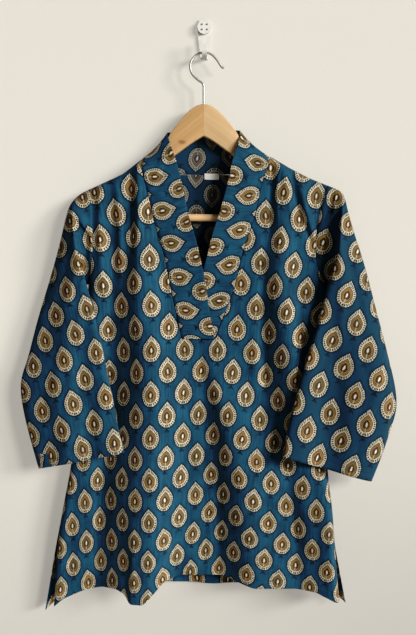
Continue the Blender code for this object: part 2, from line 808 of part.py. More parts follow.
def build_hanger_hook():
    """The steel wire hook: an open ring with a turned-out tip, a short neck and a straight shank."""
    route = list(HOOK_TIP)
    for degrees in HOOK_RING_DEGREES:
        angle = math.radians(degrees)
        x = HOOK_RING_RADIUS * math.cos(angle)
        z = HOOK_RING_Z + HOOK_RING_RADIUS * math.sin(angle)
        route.append((x, z))
    route += list(HOOK_NECK)
    wire = bpy.data.curves.new("hanger_hook", "CURVE")
    wire.dimensions = "3D"
    spline = wire.splines.new("POLY")
    spline.points.add(len(route) - 1)
    for point, (x, z) in zip(spline.points, route):
        point.co = (x * MM, WOOD_Y * MM, z * MM, 1)
    wire.bevel_depth = HOOK_WIRE_RADIUS * MM
    wire.bevel_resolution = 2
    wire.use_fill_caps = True
    piece = bpy.data.objects.new("hanger_hook", wire)
    bpy.context.scene.collection.objects.link(piece)
    wire.materials.append(finished("hanger_hook", BRIGHT_STEEL))
    return piece


def build_wall_hook():
    """The white wall hook: a tapering plate with a J prong and a round cap, joined in one."""
    white = finished("wall_hook", WHITE_PLASTIC)
    outline = (
        (-PLATE_TOP_HALF, CAP_Z),
        (-PLATE_TOP_HALF + PLATE_CORNER, PLATE_HALF_HEIGHT),
        (PLATE_TOP_HALF - PLATE_CORNER, PLATE_HALF_HEIGHT),
        (PLATE_TOP_HALF, CAP_Z),
        (PLATE_FOOT_HALF, -PLATE_HALF_HEIGHT),
        (-PLATE_FOOT_HALF, -PLATE_HALF_HEIGHT),
    )
    body = prism("wall_hook", outline, -PLATE_THICK, 0, white)
    cap_front = -PLATE_THICK - CAP_THICK
    cap_back = -PLATE_THICK + JOIN_DEPTH
    join_with(body, cylinder("cap", CAP_RADIUS, (cap_front, cap_back), (0, CAP_Z), "y", CAP_SIDES, white))
    join_with(body, build_prong(white))
    for number in range(1, PIN_COUNT + 1):
        angle = 2 * math.pi * (number - 0.5) / PIN_COUNT
        centre = (PIN_CIRCLE * math.cos(angle), CAP_Z + PIN_CIRCLE * math.sin(angle))
        ends = (cap_front - HOLE_OVERSHOOT, cap_front + PIN_DEPTH)
        radius = PIN_RADIUS + FIT_GAP
        cut_with(body, cylinder(f"pin_hole_{number}", radius, ends, centre, "y", PIN_SIDES, white))
        ends = (cap_front - PIN_PROUD, cap_front + PIN_DEPTH - FIT_GAP)
        steel = finished(f"hook_pin_{number}", PIN_STEEL)
        cylinder(f"hook_pin_{number}", PIN_RADIUS, ends, centre, "y", PIN_SIDES, steel)


def build_prong(material):
    """The J prong: a flat strip that leaves the plate, turns under the ring and rises in front."""
    centre_z = -PLATE_HALF_HEIGHT + PRONG_THICK + PRONG_BEND
    reach = PRONG_REACH - PRONG_THICK - PRONG_BEND
    root = -PLATE_THICK + JOIN_DEPTH
    outer = [(root, -PLATE_HALF_HEIGHT)]
    inner = [(root, -PLATE_HALF_HEIGHT + PRONG_THICK)]
    for step in range(PRONG_TURN_STEPS + 1):
        angle = 0.5 * math.pi * step / PRONG_TURN_STEPS
        for side, radius in ((outer, PRONG_BEND + PRONG_THICK), (inner, PRONG_BEND)):
            side.append((-reach - radius * math.sin(angle), centre_z - radius * math.cos(angle)))
    outer.append((-PRONG_REACH, PRONG_TIP_Z))
    inner.append((-PRONG_REACH + PRONG_THICK, PRONG_TIP_Z))
    loop = outer + inner[::-1]
    count = len(loop)
    half = PRONG_WIDTH / 2
    points = [(-half, y, z) for y, z in loop] + [(half, y, z) for y, z in loop]
    faces = [tuple(range(count)), tuple(range(count, 2 * count))]
    for index in range(count):
        after = (index + 1) % count
        faces.append((index, after, after + count, index + count))
    data = mesh_from("prong", points, faces)
    turn_outward(data)
    return place("prong", data, material)


def join_with(piece, added):
    """Makes one body of a piece and a second shape, which stays as a hidden guide."""
    added.hide_render = True
    added.display_type = "WIRE"
    union = piece.modifiers.new("join", "BOOLEAN")
    union.operation = "UNION"
    union.object = added


def build():
    """Clears the scene and builds every piece."""
    for old in list(bpy.data.objects):
        bpy.data.objects.remove(old, do_unlink=True)
    build_front()
    build_back()
    build_sleeve("left")
    build_sleeve("right")
    build_band()
    build_label()
    build_arms()
    build_bar()
    build_hanger_hook()
    build_wall_hook()


build()
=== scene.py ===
import math

import bmesh
import bpy
import numpy as np
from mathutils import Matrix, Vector


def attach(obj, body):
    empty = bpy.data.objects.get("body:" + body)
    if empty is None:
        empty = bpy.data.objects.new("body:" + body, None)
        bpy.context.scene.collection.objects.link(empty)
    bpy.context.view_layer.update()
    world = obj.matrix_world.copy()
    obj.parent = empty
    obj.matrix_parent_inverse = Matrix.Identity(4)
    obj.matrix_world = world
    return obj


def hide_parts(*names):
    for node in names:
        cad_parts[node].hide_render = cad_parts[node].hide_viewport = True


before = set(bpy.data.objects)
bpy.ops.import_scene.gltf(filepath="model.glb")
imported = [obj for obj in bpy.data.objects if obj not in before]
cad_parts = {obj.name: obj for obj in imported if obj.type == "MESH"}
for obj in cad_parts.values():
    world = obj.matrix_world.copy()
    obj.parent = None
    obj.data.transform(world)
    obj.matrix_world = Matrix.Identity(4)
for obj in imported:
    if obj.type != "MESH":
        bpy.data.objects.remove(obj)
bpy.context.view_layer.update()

# A short block-printed cotton kurta on a wooden suit hanger and a small white wall hook.
# Lengths below are in millimetres and become metres when a mesh is made. The origin is the middle
# of the wall hook's flat back. The wall lies at y = 0 and the garment hangs on its -Y side.
# "Left" and "right" are the viewer's.
MM = 0.001


# ---------------------------------------------------------------- tables of the garment's shape
def table(names, *rows):
    """Columns of a short table, each as an array under its name."""
    return dict(zip(names.split(), np.array(rows, dtype=float).T))


# Side edges of the front and back panels, hem to shoulder tip. Above UNDERARM_Z they are armholes.
FRONT_SIDES = table(
    "z left right",
    (-935, -244, 219),
    (-830, -238, 210),
    (-765, -229, 206),
    (-700, -217, 200),
    (-595, -206, 197),
    (-495, -196, 197),
    (-440, -192, 206),
    (-404, -189, 200),
    (-381, -184, 182),
    (-349, -180, 179),
    (-309, -180, 181),
    (-277, -182, 189),
    (-245, -186, 200),
)
BACK_SIDES = table(
    "z left right",
    (-935, -259, 232),
    (-830, -241, 212),
    (-765, -229, 206),
    (-700, -217, 200),
    (-595, -206, 197),
    (-495, -196, 197),
    (-440, -192, 206),
    (-404, -189, 200),
    (-349, -187, 192),
    (-245, -186, 200),
)
FRONT_HEM = table(
    "x z",
    (-244, -926),
    (-230, -913),
    (-200, -899),
    (-165, -891),
    (-142, -891),
    (-128, -897),
    (-119, -911),
    (-98, -912),
    (-88, -902),
    (-67, -881),
    (-40, -873),
    (30, -873),
    (79, -888),
    (145, -889),
    (178, -893),
    (219, -912),
)
BACK_HEM = table(
    "x z",
    (-259, -934),
    (-238, -914),
    (-200, -896),
    (-120, -886),
    (-60, -891),
    (60, -893),
    (120, -888),
    (180, -891),
    (214, -907),
    (232, -922),
)
# Top line of the garment: shoulder seams, with the back neck between the two neck points.
SHOULDER_LINE = table(
    "x z",
    (-186, -250),
    (-162, -239),
    (-132, -225),
    (-100, -200),
    (103, -196),
    (138, -216),
    (170, -232),
    (200, -244),
)
BACK_TOP_LINE = table(
    "x z",
    (-186, -250),
    (-132, -225),
    (-100, -200),
    (-86, -211),
    (-66, -220),
    (-43, -224),
    (43, -224),
    (68, -219),
    (88, -208),
    (103, -196),
    (138, -216),
    (200, -244),
)
# How far forward the front lies: its side edges, and the flat of it.
FRONT_DEPTH = table(
    "z edge flat",
    (-935, -28, -33),
    (-830, -26, -33),
    (-700, -20, -34),
    (-560, -14, -35),
    (-430, -15, -36),
    (-404, -18, -36),
    (-390, -25, -36),
    (-365, -33, -36),
    (-245, -33, -36),
)
BACK_DEPTH = table(
    "z edge flat",
    (-935, -20, -7),
    (-830, -24, -7),
    (-700, -18, -7),
    (-560, -12, -8),
    (-430, -13, -8),
    (-404, -16, -8),
    (-380, -11, -8),
    (-340, -9, -9),
    (-245, -9, -9),
)
# Large folds of a piece: where the crest runs, its width to each side and its height (forward).
FOLD_NAMES = "z x left_width right_width height"
FRONT_FOLDS = (
    # the left fold, from the shoulder to the hem
    table(
        FOLD_NAMES,
        (-205, -105, 12, 24, 3),
        (-282, -105, 16, 32, 8),
        (-356, -105, 20, 36, 12),
        (-428, -102, 38, 44, 17),
        (-501, -90, 50, 58, 23),
        (-575, -86, 60, 64, 28),
        (-721, -86, 90, 66, 34),
        (-793, -85, 98, 60, 38),
        (-868, -88, 98, 52, 37),
        (-925, -96, 90, 46, 33),
    ),
    # the hollow to its left
    table(
        FOLD_NAMES,
        (-280, -148, 20, 20, 0),
        (-380, -148, 26, 20, -4),
        (-501, -150, 30, 24, -6),
        (-650, -160, 26, 26, -5),
        (-925, -178, 24, 26, -2),
    ),
    # the middle fold, from the placket's foot
    table(
        FOLD_NAMES,
        (-490, 14, 22, 40, 0),
        (-530, 17, 24, 50, 5),
        (-567, 23, 30, 60, 9),
        (-612, 37, 38, 80, 15),
        (-655, 46, 46, 130, 20),
        (-743, 68, 62, 170, 24),
        (-801, 77, 64, 185, 25),
        (-905, 86, 66, 190, 25),
    ),
    # the right fold, which runs out to the side
    table(
        FOLD_NAMES,
        (-225, 126, 12, 20, 3),
        (-319, 127, 28, 26, 8),
        (-377, 122, 34, 28, 12),
        (-465, 130, 42, 30, 18),
        (-538, 142, 46, 32, 19),
        (-612, 149, 46, 32, 17),
        (-684, 172, 54, 34, 15),
        (-718, 181, 60, 32, 18),
        (-768, 206, 94, 28, 36),
        (-830, 228, 106, 24, 39),
        (-915, 240, 110, 22, 35),
    ),
    # where the sleeves lie on the panel and press it back
    table(
        FOLD_NAMES,
        (-370, -212, 54, 54, -8),
        (-650, -214, 54, 54, -8),
        (-700, -214, 54, 54, 0),
    ),
    table(
        FOLD_NAMES,
        (-370, 208, 50, 50, -9),
        (-640, 206, 46, 46, -7),
        (-690, 206, 40, 40, 0),
    ),
)
BACK_FOLDS = (
    # three soft folds, which come forward
    table(
        FOLD_NAMES,
        (-330, -92, 34, 44, 0),
        (-600, -108, 34, 44, 6),
        (-915, -128, 34, 44, 10),
    ),
    table(
        FOLD_NAMES,
        (-300, 22, 46, 38, 0),
        (-600, 18, 42, 38, 5),
        (-905, 14, 40, 38, 8),
    ),
    table(
        FOLD_NAMES,
        (-340, 104, 40, 34, 0),
        (-600, 116, 38, 34, 6),
        (-905, 128, 38, 34, 10),
    ),
)
SLEEVE_FOLDS = {
    "left": (
        # the fold down the outside
        table(
            FOLD_NAMES,
            (-300, -214, 20, 20, 0),
            (-420, -222, 30, 34, 5),
            (-560, -232, 34, 44, 6),
            (-690, -214, 30, 40, 4),
        ),
        # the hollow at the elbow
        table(
            FOLD_NAMES,
            (-430, -184, 24, 20, 0),
            (-560, -190, 26, 24, -4),
            (-680, -176, 24, 24, -3),
        ),
    ),
    "right": (
        # the fold down the outside
        table(
            FOLD_NAMES,
            (-300, 240, 50, 14, 4),
            (-380, 258, 80, 14, 10),
            (-500, 284, 95, 14, 20),
            (-583, 295, 100, 14, 25),
            (-650, 286, 100, 14, 24),
            (-720, 274, 90, 12, 12),
        ),
        # the hollow at the elbow
        table(
            FOLD_NAMES,
            (-400, 196, 20, 40, 0),
            (-500, 196, 26, 50, -4),
            (-583, 190, 34, 56, -6),
            (-700, 182, 34, 50, -6),
        ),
    ),
}
# Stations of a sleeve, armhole to cuff: outer edge, front fold and underarm side, with their depths.
SLEEVE_NAMES = "outer_x outer_z outer_y fold_x fold_z fold_y under_x under_z under_y front_puff back_puff"
SLEEVE_LEFT = table(
    SLEEVE_NAMES,
    (-194, -253, -22, -187, -324, -30, -195, -408, -19, 6, 10),
    (-206, -261, -21, -200, -308, -33, -199, -414, -21, 8, 12),
    (-218, -275, -20, -210, -300, -41, -201, -423, -25, 8, 11),
    (-226, -298, -19, -207, -326, -44, -199, -434, -30, 10, 9),
    (-236, -340, -19, -197, -372, -45, -191, -449, -36, 11, 7),
    (-252, -398, -20, -182, -426, -48, -179, -468, -43, 11, 5),
    (-270, -460, -24, -167, -488, -54, -166, -494, -47, 10, 4),
    (-285, -520, -27, -154, -550, -58, -153, -552, -52, 9, 4),
    (-297, -566, -30, -144, -596, -61, -143, -597, -55, 9, 4),
    (-289, -622, -33, -136, -638, -64, -135, -638, -58, 9, 4),
    (-267, -701, -36, -127, -671, -68, -126, -671, -62, 9, 4),
)
SLEEVE_RIGHT = table(
    SLEEVE_NAMES,
    (209, -247, -22, 200, -306, -30, 198, -408, -19, 6, 10),
    (219, -252, -21, 210, -293, -33, 203, -414, -21, 8, 12),
    (227, -261, -20, 219, -287, -41, 204, -422, -25, 8, 11),
    (233, -284, -19, 217, -308, -44, 202, -432, -30, 10, 9),
    (244, -322, -19, 211, -352, -45, 195, -445, -36, 11, 7),
    (261, -376, -20, 198, -402, -49, 187, -461, -43, 11, 5),
    (281, -456, -25, 179, -474, -57, 176, -482, -49, 10, 4),
    (294, -507, -28, 163, -523, -62, 162, -526, -55, 9, 4),
    (311, -590, -31, 141, -600, -67, 140, -601, -60, 9, 4),
    (298, -646, -34, 130, -647, -70, 129, -647, -63, 9, 4),
    (269, -721, -37, 124, -677, -73, 123, -677, -66, 9, 4),
)
# The collar band from its left foot, round the neck, to its right foot. The seam edge is sewn down.
# In front, both depths are counted from the front panel's surface; behind, from the wall.
BAND_LEFT = table(
    "seam_x seam_z free_x free_z free_rise",
    (-36, -493, 15, -493, 3.6),
    (-48, -440, 6, -438, 4.5),
    (-57, -397, -1, -392, 5),
    (-67, -350, -12, -342, 6),
    (-80, -307, -26, -293, 6),
    (-92, -254, -37, -243, 6),
    (-100, -222, -45, -210, 5),
    (-100, -209, -53, -186, 0),
)
BAND_RIGHT = table(
    "seam_x seam_z free_x free_z free_rise",
    (16, -493, -31, -493, -3.2),
    (33, -450, -20, -450, -3),
    (48, -410, -8, -405, -1),
    (60, -360, 4, -362, 2),
    (72, -321, 14, -322, 4),
    (83, -287, 27, -283, 5),
    (94, -237, 40, -233, 6),
    (102, -217, 46, -204, 5),
    (103, -205, 54, -181, 0),
)
BAND_BEHIND = table(
    "seam_x seam_z seam_y free_x free_z free_y",
    (-99, -199, -22, -60, -161, -22),
    (-90, -206, -13, -57, -156, -13),
    (-68, -219.5, -10, -44, -154, -9),
    (-40, -223.8, -9, -26, -153, -8),
    (40, -223.8, -9, 26, -152, -8),
    (70, -218.5, -10, 46, -152, -9),
    (93, -203, -13, 57, -153, -13),
    (102, -195, -22, 58, -158, -22),
)

# Where the panels end, and the widths over which they turn to their seams.
PLACKET_FOOT_Z = -493.0
UNDERARM_Z = -404.0
SLIT_TOP_Z = -765.0
SLIT_CLOSING = 25.0         # height below the slit's top over which front and back come together
UNDERARM_PARTING = (-4, 6)  # heights about the underarm between which they part again
SIDE_ROLL = 13.0
BACK_SIDE_ROLL = 26.0
SHOULDER_ROLL = 20.0
SHOULDER_SEAM_Y = -22.5
NECK_FLAT_HALF = 74.0       # the back neck stays flat this far out from the middle
NECK_BLEND = 24.0
SEAM = 0.3                  # gap between two sewn pieces

# Small creases of a panel: both ends, sideways bow, half width and height (forward is positive).
CREASE_NAMES = "x_top z_top x_low z_low bow width height"
FRONT_CREASES = table(
    CREASE_NAMES,
    # below the left shoulder
    (-166, -246, -164, -400, -4, 6, 2.8),
    (-143, -236, -136, -380, 3, 5, 2.6),
    (-120, -228, -117, -340, 0, 4, -3.0),
    (-108, -222, -104, -330, 0, 5, 2.6),
    (-153, -260, -151, -460, 4, 7, -2.4),
    (-186, -262, -190, -340, 2, 5, -3.0),
    (-80, -330, -72, -600, -4, 8, 1.4),
    (-66, -430, -58, -700, 5, 8, -1.2),
    # below the right shoulder
    (110, -205, 106, -310, 0, 4, -3.0),
    (120, -212, 118, -300, -2, 4, 2.6),
    (142, -236, 174, -342, -3, 4.5, -3.6),
    (128, -226, 150, -320, -3, 5, 3.0),
    (153, -236, 188, -350, -4, 5, 3.4),
    (142, -290, 150, -440, -4, 6, 2.4),
    (90, -300, 84, -560, -5, 8, 1.8),
    (96, -400, 100, -600, -3, 7, -2.8),
    (160, -420, 158, -560, 3, 7, 1.8),
    # across the waist and skirt
    (-178, -500, -188, -900, 6, 10, 2.2),
    (-206, -560, -222, -905, 4, 8, -1.8),
    (-70, -560, -58, -900, 6, 10, -2.0),
    (-40, -520, -28, -880, -6, 12, 2.0),
    (-8, -470, -2, -870, 5, 9, -1.8),
    (13, -620, 24, -880, 3, 8, -3.0),
    (98, -560, 106, -890, -5, 9, -2.2),
    (122, -620, 150, -890, 4, 9, -2.6),
    (76, -500, 84, -640, 4, 9, 2.0),
    (168, -660, 176, -880, 4, 8, -1.4),
    (-112, -800, -116, -925, 0, 6, 2.6),
    (-122, -840, -130, -925, 2, 5, -2.2),
    (-60, -700, 20, -640, 3, 10, 0.8),
    (60, -740, 130, -660, -4, 12, 0.9),
    (-20, -560, 60, -480, 6, 12, 0.9),
)
BACK_CREASES = table(
    CREASE_NAMES,
    (-150, -240, -140, -520, 5, 8, -1.6),
    (-124, -226, -118, -420, -4, 6, 1.4),
    (128, -222, 120, -470, 5, 7, -1.6),
    (156, -236, 150, -520, -5, 8, 1.4),
    (-176, -420, -188, -900, 6, 11, -1.8),
    (-70, -420, -84, -900, -6, 12, 1.6),
    (-20, -520, -30, -880, 5, 10, -1.5),
    (62, -460, 74, -900, 6, 11, 1.7),
    (156, -460, 176, -890, -6, 10, -1.8),
    (-40, -236, 40, -250, 4, 9, 1.0),
    (-90, -300, 60, -330, 10, 14, 0.8),
)
# Creases of a sleeve: both ends in x and z, as above, on its front and on its back.
SLEEVE_CREASES = {
    "left": table(
        CREASE_NAMES,
        (-219, -276, -196, -364, 3, 6, -3.2),
        (-192, -262, -214, -420, 6, 6, 2.2),
        (-208, -270, -244, -470, 5, 7, -1.8),
        (-186, -330, -196, -520, -5, 7, 1.8),
        (-226, -420, -262, -600, 7, 9, -1.6),
        (-200, -470, -214, -680, -6, 9, 1.5),
        (-170, -520, -186, -660, 4, 8, -1.5),
        (-262, -560, -236, -640, 4, 8, 1.2),
    ),
    "right": table(
        CREASE_NAMES,
        (208, -258, 226, -400, -6, 6, 2.2),
        (220, -268, 254, -460, -5, 7, -1.8),
        (212, -330, 214, -520, 5, 7, 1.8),
        (244, -400, 272, -620, -7, 9, -1.6),
        (216, -470, 226, -690, 6, 9, 1.5),
        (184, -520, 196, -660, -4, 8, -1.5),
        (276, -560, 252, -690, -4, 8, 1.4),
    ),
}
BAND_CREASES = table(
    CREASE_NAMES,
    (-70, -205, -92, -262, 3, 4, 1.2),
    (-52, -196, -74, -250, -3, 4, -1.1),
    (76, -205, 88, -262, 3, 4, -1.0),
    (60, -196, 70, -250, 3, 4, 1.1),
    (-40, -300, -70, -330, 2, 5, 0.8),
    (20, -330, 62, -340, 2, 5, 0.8),
    (-10, -430, -50, -470, 3, 6, 1.0),
    (4, -380, -8, -480, -3, 6, 0.9),
)
CREASE_FADE = 0.34          # share of a crease's length over which it dies away
RIPPLE = 0.35               # height of the cloth's faint unevenness

# Reading the tables: how far end rows are carried on, and how far corners are rounded each side.
FAR = 100.0
ROUNDING_STEPS = np.linspace(-0.875, 0.875, 8)
SIDE_REACH = 22.0
DEPTH_REACH = 30.0
FOLD_REACH = 30.0
SHOULDER_REACH = 4.0
HEM_REACH = 5.0
BAND_REACH = 40.0
DRIFT_REACH = 60.0

# Cloth: thickness of the walls, and rows of a turned hem as height above the edge and share of lift.
CLOTH_WALL = 0.5
BAND_WALL = 0.4
BAND_HALF = 0.6             # half the distance between the folded band's two layers
HEM_DEPTH = 16.0            # width of a turned hem
HEM_STITCH = 12.0           # distance of the stitches from the edge
HEM_LIFT = 0.9              # distance between the panel and its turned hem
PANEL_HEM = ((-0.35, 0.5), (0.6, 1), (3, 1), (8, 1), (HEM_DEPTH, 1))
CUFF_HEM = ((0, 0.5), (3, 1), (8, 1), (HEM_DEPTH, 1))
CUFF_HEM_USE = (0, 0.5, 3, 8, HEM_DEPTH)  # cloth used up to the cuff's edge and to each of its rows
INWARD_SHARES = (0.3, 1, 0.3)  # a cuff's hem moves inwards mostly in depth

# Sleeves: how their rings bulge and lean behind, and how they are eased.
FOLD_SHARE = 0.58           # share of the armhole's height, from its top down to the sleeve's front fold
BACK_LEAN = 1.1
BACK_PUFF_EASE = 0.5
CREASE_SETTING = 0.6        # below 1, creases set in sooner beside a sleeve's outer edge and fold
CREASES_START = 8           # rings below the armhole over which they set in
SLEEVE_EASING = 5           # how often the rings are eased towards their neighbours
EDGE_EASING = 200           # how often the outer edge's heading is, before the print turns over it

# Collar band: how far its cloth sags between seam and free edge, and how far its seam behind the
# neck is moved towards the middle.
BAND_SAG = 2.5
BAND_LEAN = 1.0

# How finely each piece is laid out.
EDGE_CROWDING = 1.3         # above 1, columns crowd at the side edges
HEM_CROWDING = 1.15         # above 1, rows crowd at the hem
FRONT_SIDE_COLUMNS = 80
FRONT_MIDDLE_COLUMNS = 14
FRONT_LOWER_ROWS = 100
FRONT_CHEST_ROWS = 22
NECK_EDGE_POINTS = 90
BACK_COLUMNS = 120
BACK_LOWER_ROWS = 110
SLEEVE_STATIONS = 120
SLEEVE_FRONT_STEPS = 52
SLEEVE_UNDER_STEPS = 14
SLEEVE_BACK_STEPS = 46
UNDERARM_COLUMN = SLEEVE_FRONT_STEPS + SLEEVE_UNDER_STEPS
BAND_STATIONS = 420
BAND_STEPS = 16
BAND_FOLD_STEPS = 6
RUN_X = np.arange(-300.0, 290.0, 1.5)
RUN_Z = np.arange(-950.0, -180.0, 5.0)

# Print: the repeat of the block, in millimetres of flat cloth.
REPEAT_ACROSS = 53.0
REPEAT_UP = 67.4
# One leaf on each panel: its x, z and whether its tip points up (1) or down (-1).
FRONT_LEAF = (-31.9, -511.6, 1)
BACK_LEAF = (13.0, -260.0, -1)
# For a sleeve: the direction across the leaf, the direction to its tip, and its x and z.
# Both directions are a little short, for the sleeves hang forward and their print looks larger.
SLEEVE_LEAF = {
    "left": ((0.978, 0.21), (-0.197, 0.916), (-186.4, -441.7)),
    "right": ((0.878, -0.266), (0.264, 0.871), (209.1, -377.4)),
}
BAND_LEAF = 19.5            # how far a row of leaves lies from the band's seam
BAND_STITCH_SHIFT = 9.5     # brings the band's edge stitches, 2.5 from its edges, to the hem's line
# Distance along the band from its left foot, and how much of the print is used up by then.
BAND_PRINT = table(
    "run place",
    (0, 8),
    (290, 285),
    (500, 497),
    (800, 771),
)
FOLD_USE = (1.15, 0.3)      # share of a fold's depth that uses up print on its left and right slope
# How far the print has drifted on the hanging front, by height, at six places across it.
DRIFT_X = (-225, -150, -60, 30, 110, 210)
DRIFT_CARRY = 9             # widths of an outer column over which its slope may be carried on
DRIFT_NAMES = "z " + " ".join("at_" + str(number) for number in range(len(DRIFT_X)))
DRIFT_ACROSS = table(
    DRIFT_NAMES,
    (-910, -23, -9, 13, 31, 33, 35),
    (-780, -18, -4, 6, 17, 16, 22),
    (-640, -11, -1, 2, 6, 7, 6),
    (-480, 1, 0, -1, -3, -7, -12),
    (-340, 18, 9, 0, -13, -23, -29),
    (-220, 36, 20, 1, -18, -33, -42),
)
DRIFT_UP = table(
    DRIFT_NAMES,
    (-910, 10, -9, -14, -32, -14, 6),
    (-780, 13, -1, -2, -13, 6, 20),
    (-640, 9, 4, 1, 0, 11, 24),
    (-480, 3, -1, -6, -5, 4, 16),
    (-340, -8, -13, -18, -17, -10, 0),
    (-220, -23, -30, -33, -32, -27, -20),
)

# Neck label: its place, and how it bends.
LABEL_LEFT = 0.0
LABEL_RIGHT = 24.0
LABEL_TOP_Z = -222.0
LABEL_DROP = 10.0
LABEL_WALL = 0.5
LABEL_LIFT = 1.3            # distance from the back
LABEL_SAG = 0.5
LABEL_BELLY = 0.5
LABEL_CURL = 0.35
LABEL_COLUMNS = 24
LABEL_ROWS = 12

# Hanger arms: the wood, and the stations of an arm from the joint outwards. Each has its top line
# and its foot line, counted from the joint.
HANGER_X = -1.0
WOOD_FRONT = -27.0
WOOD_THICK = 12.0
ARM_JOINT = 0.1             # half the gap between the two arms
ARM_ROUND = 1.5
ARM_ROUND_STEPS = 3
SMOOTH_BELOW = 32           # degrees between faces that are shaded as one surface
SAME_PLACE = 0.1            # points closer than this are taken for one
ARM = table(
    "top top_z foot foot_z",
    (0, -112, 0, -163.5),
    (6, -112.4, 7, -167),
    (12, -114.6, 14, -171),
    (22, -121.2, 21, -175.6),
    (32, -131, 29, -181.6),
    (42, -143, 38, -188),
    (50, -153.2, 48, -195.4),
    (54.5, -160, 54, -200),
    (60, -171, 60, -204.6),
    (72, -186.5, 72, -213.6),
    (86, -201, 86, -224.4),
    (100, -213, 101, -237),
    (132, -234.4, 132, -263.4),
    (165, -251.8, 156, -288),
    (187, -264, 172, -303.5),
    (195.5, -279, 187, -305.5),
)


# ---------------------------------------------------------------- reading the tables
def rounded(value_at):
    """Average of value_at over the rounding steps, the middle ones weighing most."""
    total = 0
    for step in ROUNDING_STEPS:
        total = total + (1 - abs(step)) * value_at(step)
    return total / sum(1 - abs(step) for step in ROUNDING_STEPS)


def read(data, key, value, at, reach):
    """Value column at given places of a key column, its corners rounded over a reach each side."""
    order = np.argsort(data[key])
    keys = data[key][order]
    values = data[value][order]
    start = values[0] - (values[1] - values[0]) / (keys[1] - keys[0]) * FAR
    end = values[-1] + (values[-1] - values[-2]) / (keys[-1] - keys[-2]) * FAR
    keys = np.concatenate(([keys[0] - FAR], keys, [keys[-1] + FAR]))
    values = np.concatenate(([start], values, [end]))
    at = np.asarray(at, dtype=float)
    return rounded(lambda step: np.interp(at + step * reach, keys, values))


def drift(data, x, z):
    """Value at x, z of a table that has one row for each height and one column for each x."""
    columns = [read(data, "z", name, z, DRIFT_REACH) for name in DRIFT_NAMES.split()[1:]]
    last = len(DRIFT_X) - 2

    def value_at(step):
        """Value at x, moved aside by a share of the reach."""
        value = columns[0]
        for number in range(last + 1):
            start, end = DRIFT_X[number:number + 2]
            low = -DRIFT_CARRY if number == 0 else 0
            high = DRIFT_CARRY if number == last else 1
            along = np.clip((x + step * DRIFT_REACH / 2 - start) / (end - start), low, high)
            value = value + (columns[number + 1] - columns[number]) * along
        return value

    return rounded(value_at)


def resample(rows, count):
    """Rows of points, evenly spread along a smooth curve through the given rows."""
    rows = np.asarray(rows, dtype=float)
    padded = np.vstack((2 * rows[0] - rows[1], rows, 2 * rows[-1] - rows[-2]))
    result = []
    for step in np.linspace(0, len(rows) - 1, count):
        start = min(int(step), len(rows) - 2)
        t = step - start
        before, here, after, beyond = padded[start:start + 4]
        linear = (after - before) * t
        square = (2 * before - 5 * here + 4 * after - beyond) * t ** 2
        cube = (3 * here - before - 3 * after + beyond) * t ** 3
        result.append(here + 0.5 * (linear + square + cube))
    return np.array(result)


def smooth(low, high, value):
    """0 below low, 1 above high, with a soft rise between."""
    t = np.clip((np.asarray(value, dtype=float) - low) / (high - low), 0, 1)
    return t * t * (3 - 2 * t)


def turn(distance, width):
    """0 at a turned edge, 1 beyond the given width, following a quarter round."""
    reach = np.clip(distance / width, 0, 1)
    return np.sqrt(1 - (1 - reach) ** 2)


def puff(t):
    """A soft bulge between 0 and 1 that is 0 at both ends."""
    return np.sqrt(1 - (1 - 2 * t) ** 4)


def ends_spread(count):
    """Fractions 0 to 1, closer together at both ends."""
    return 0.5 - 0.5 * np.cos(math.pi * np.linspace(0, 1, count + 1))


def outer_spread(count):
    """Fractions from an outer edge (0) inwards (1), closer together at the edge."""
    return np.linspace(0, 1, count + 1) ** EDGE_CROWDING


def unit(vectors):
    """The same directions, one long."""
    return vectors / np.linalg.norm(vectors, axis=-1, keepdims=True)


def distance_along(points, axis):
    """Distance from the first point, walked from point to point along one axis of a grid."""
    steps = np.linalg.norm(np.diff(points, axis=axis), axis=-1)
    start = np.zeros_like(np.take(steps, [0], axis=axis))
    return np.concatenate((start, np.cumsum(steps, axis=axis)), axis=axis)


def fold_height(folds, x, z):
    """Sum of a piece's large folds at x, z. Left and right of its crest a fold has its own width."""
    total = np.zeros(np.broadcast(x, z).shape)
    for fold in folds:
        inside = np.clip(z, fold["z"].min(), fold["z"].max())
        crest, left, right, height = (
            read(fold, "z", name, inside, FOLD_REACH) for name in ("x", "left_width", "right_width", "height")
        )
        across = np.clip((x - crest) / np.where(x < crest, left, right), -1, 1)
        total = total + height * np.cos(0.5 * math.pi * across) ** 2
    return total


def crease_height(creases, x, z):
    """Sum of small creases at x, z. Each fades at both ends and may bow sideways half way."""
    total = np.zeros(np.broadcast(x, z).shape)
    for row in range(len(creases["x_top"])):
        crease = {name: column[row] for name, column in creases.items()}
        start = np.array((crease["x_top"], crease["z_top"]))
        run = np.array((crease["x_low"], crease["z_low"])) - start
        length = math.hypot(*run)
        away_x = x - start[0]
        away_z = z - start[1]
        along = (away_x * run[0] + away_z * run[1]) / length ** 2
        aside = (away_x * run[1] - away_z * run[0]) / length
        aside = aside + crease["bow"] * 4 * along * (1 - along) * (np.abs(along - 0.5) < 0.5)
        ends = smooth(-CREASE_FADE, CREASE_FADE, along) * smooth(-CREASE_FADE, CREASE_FADE, 1 - along)
        total = total + crease["height"] * ends * np.exp(-(aside / crease["width"]) ** 2)
    return total


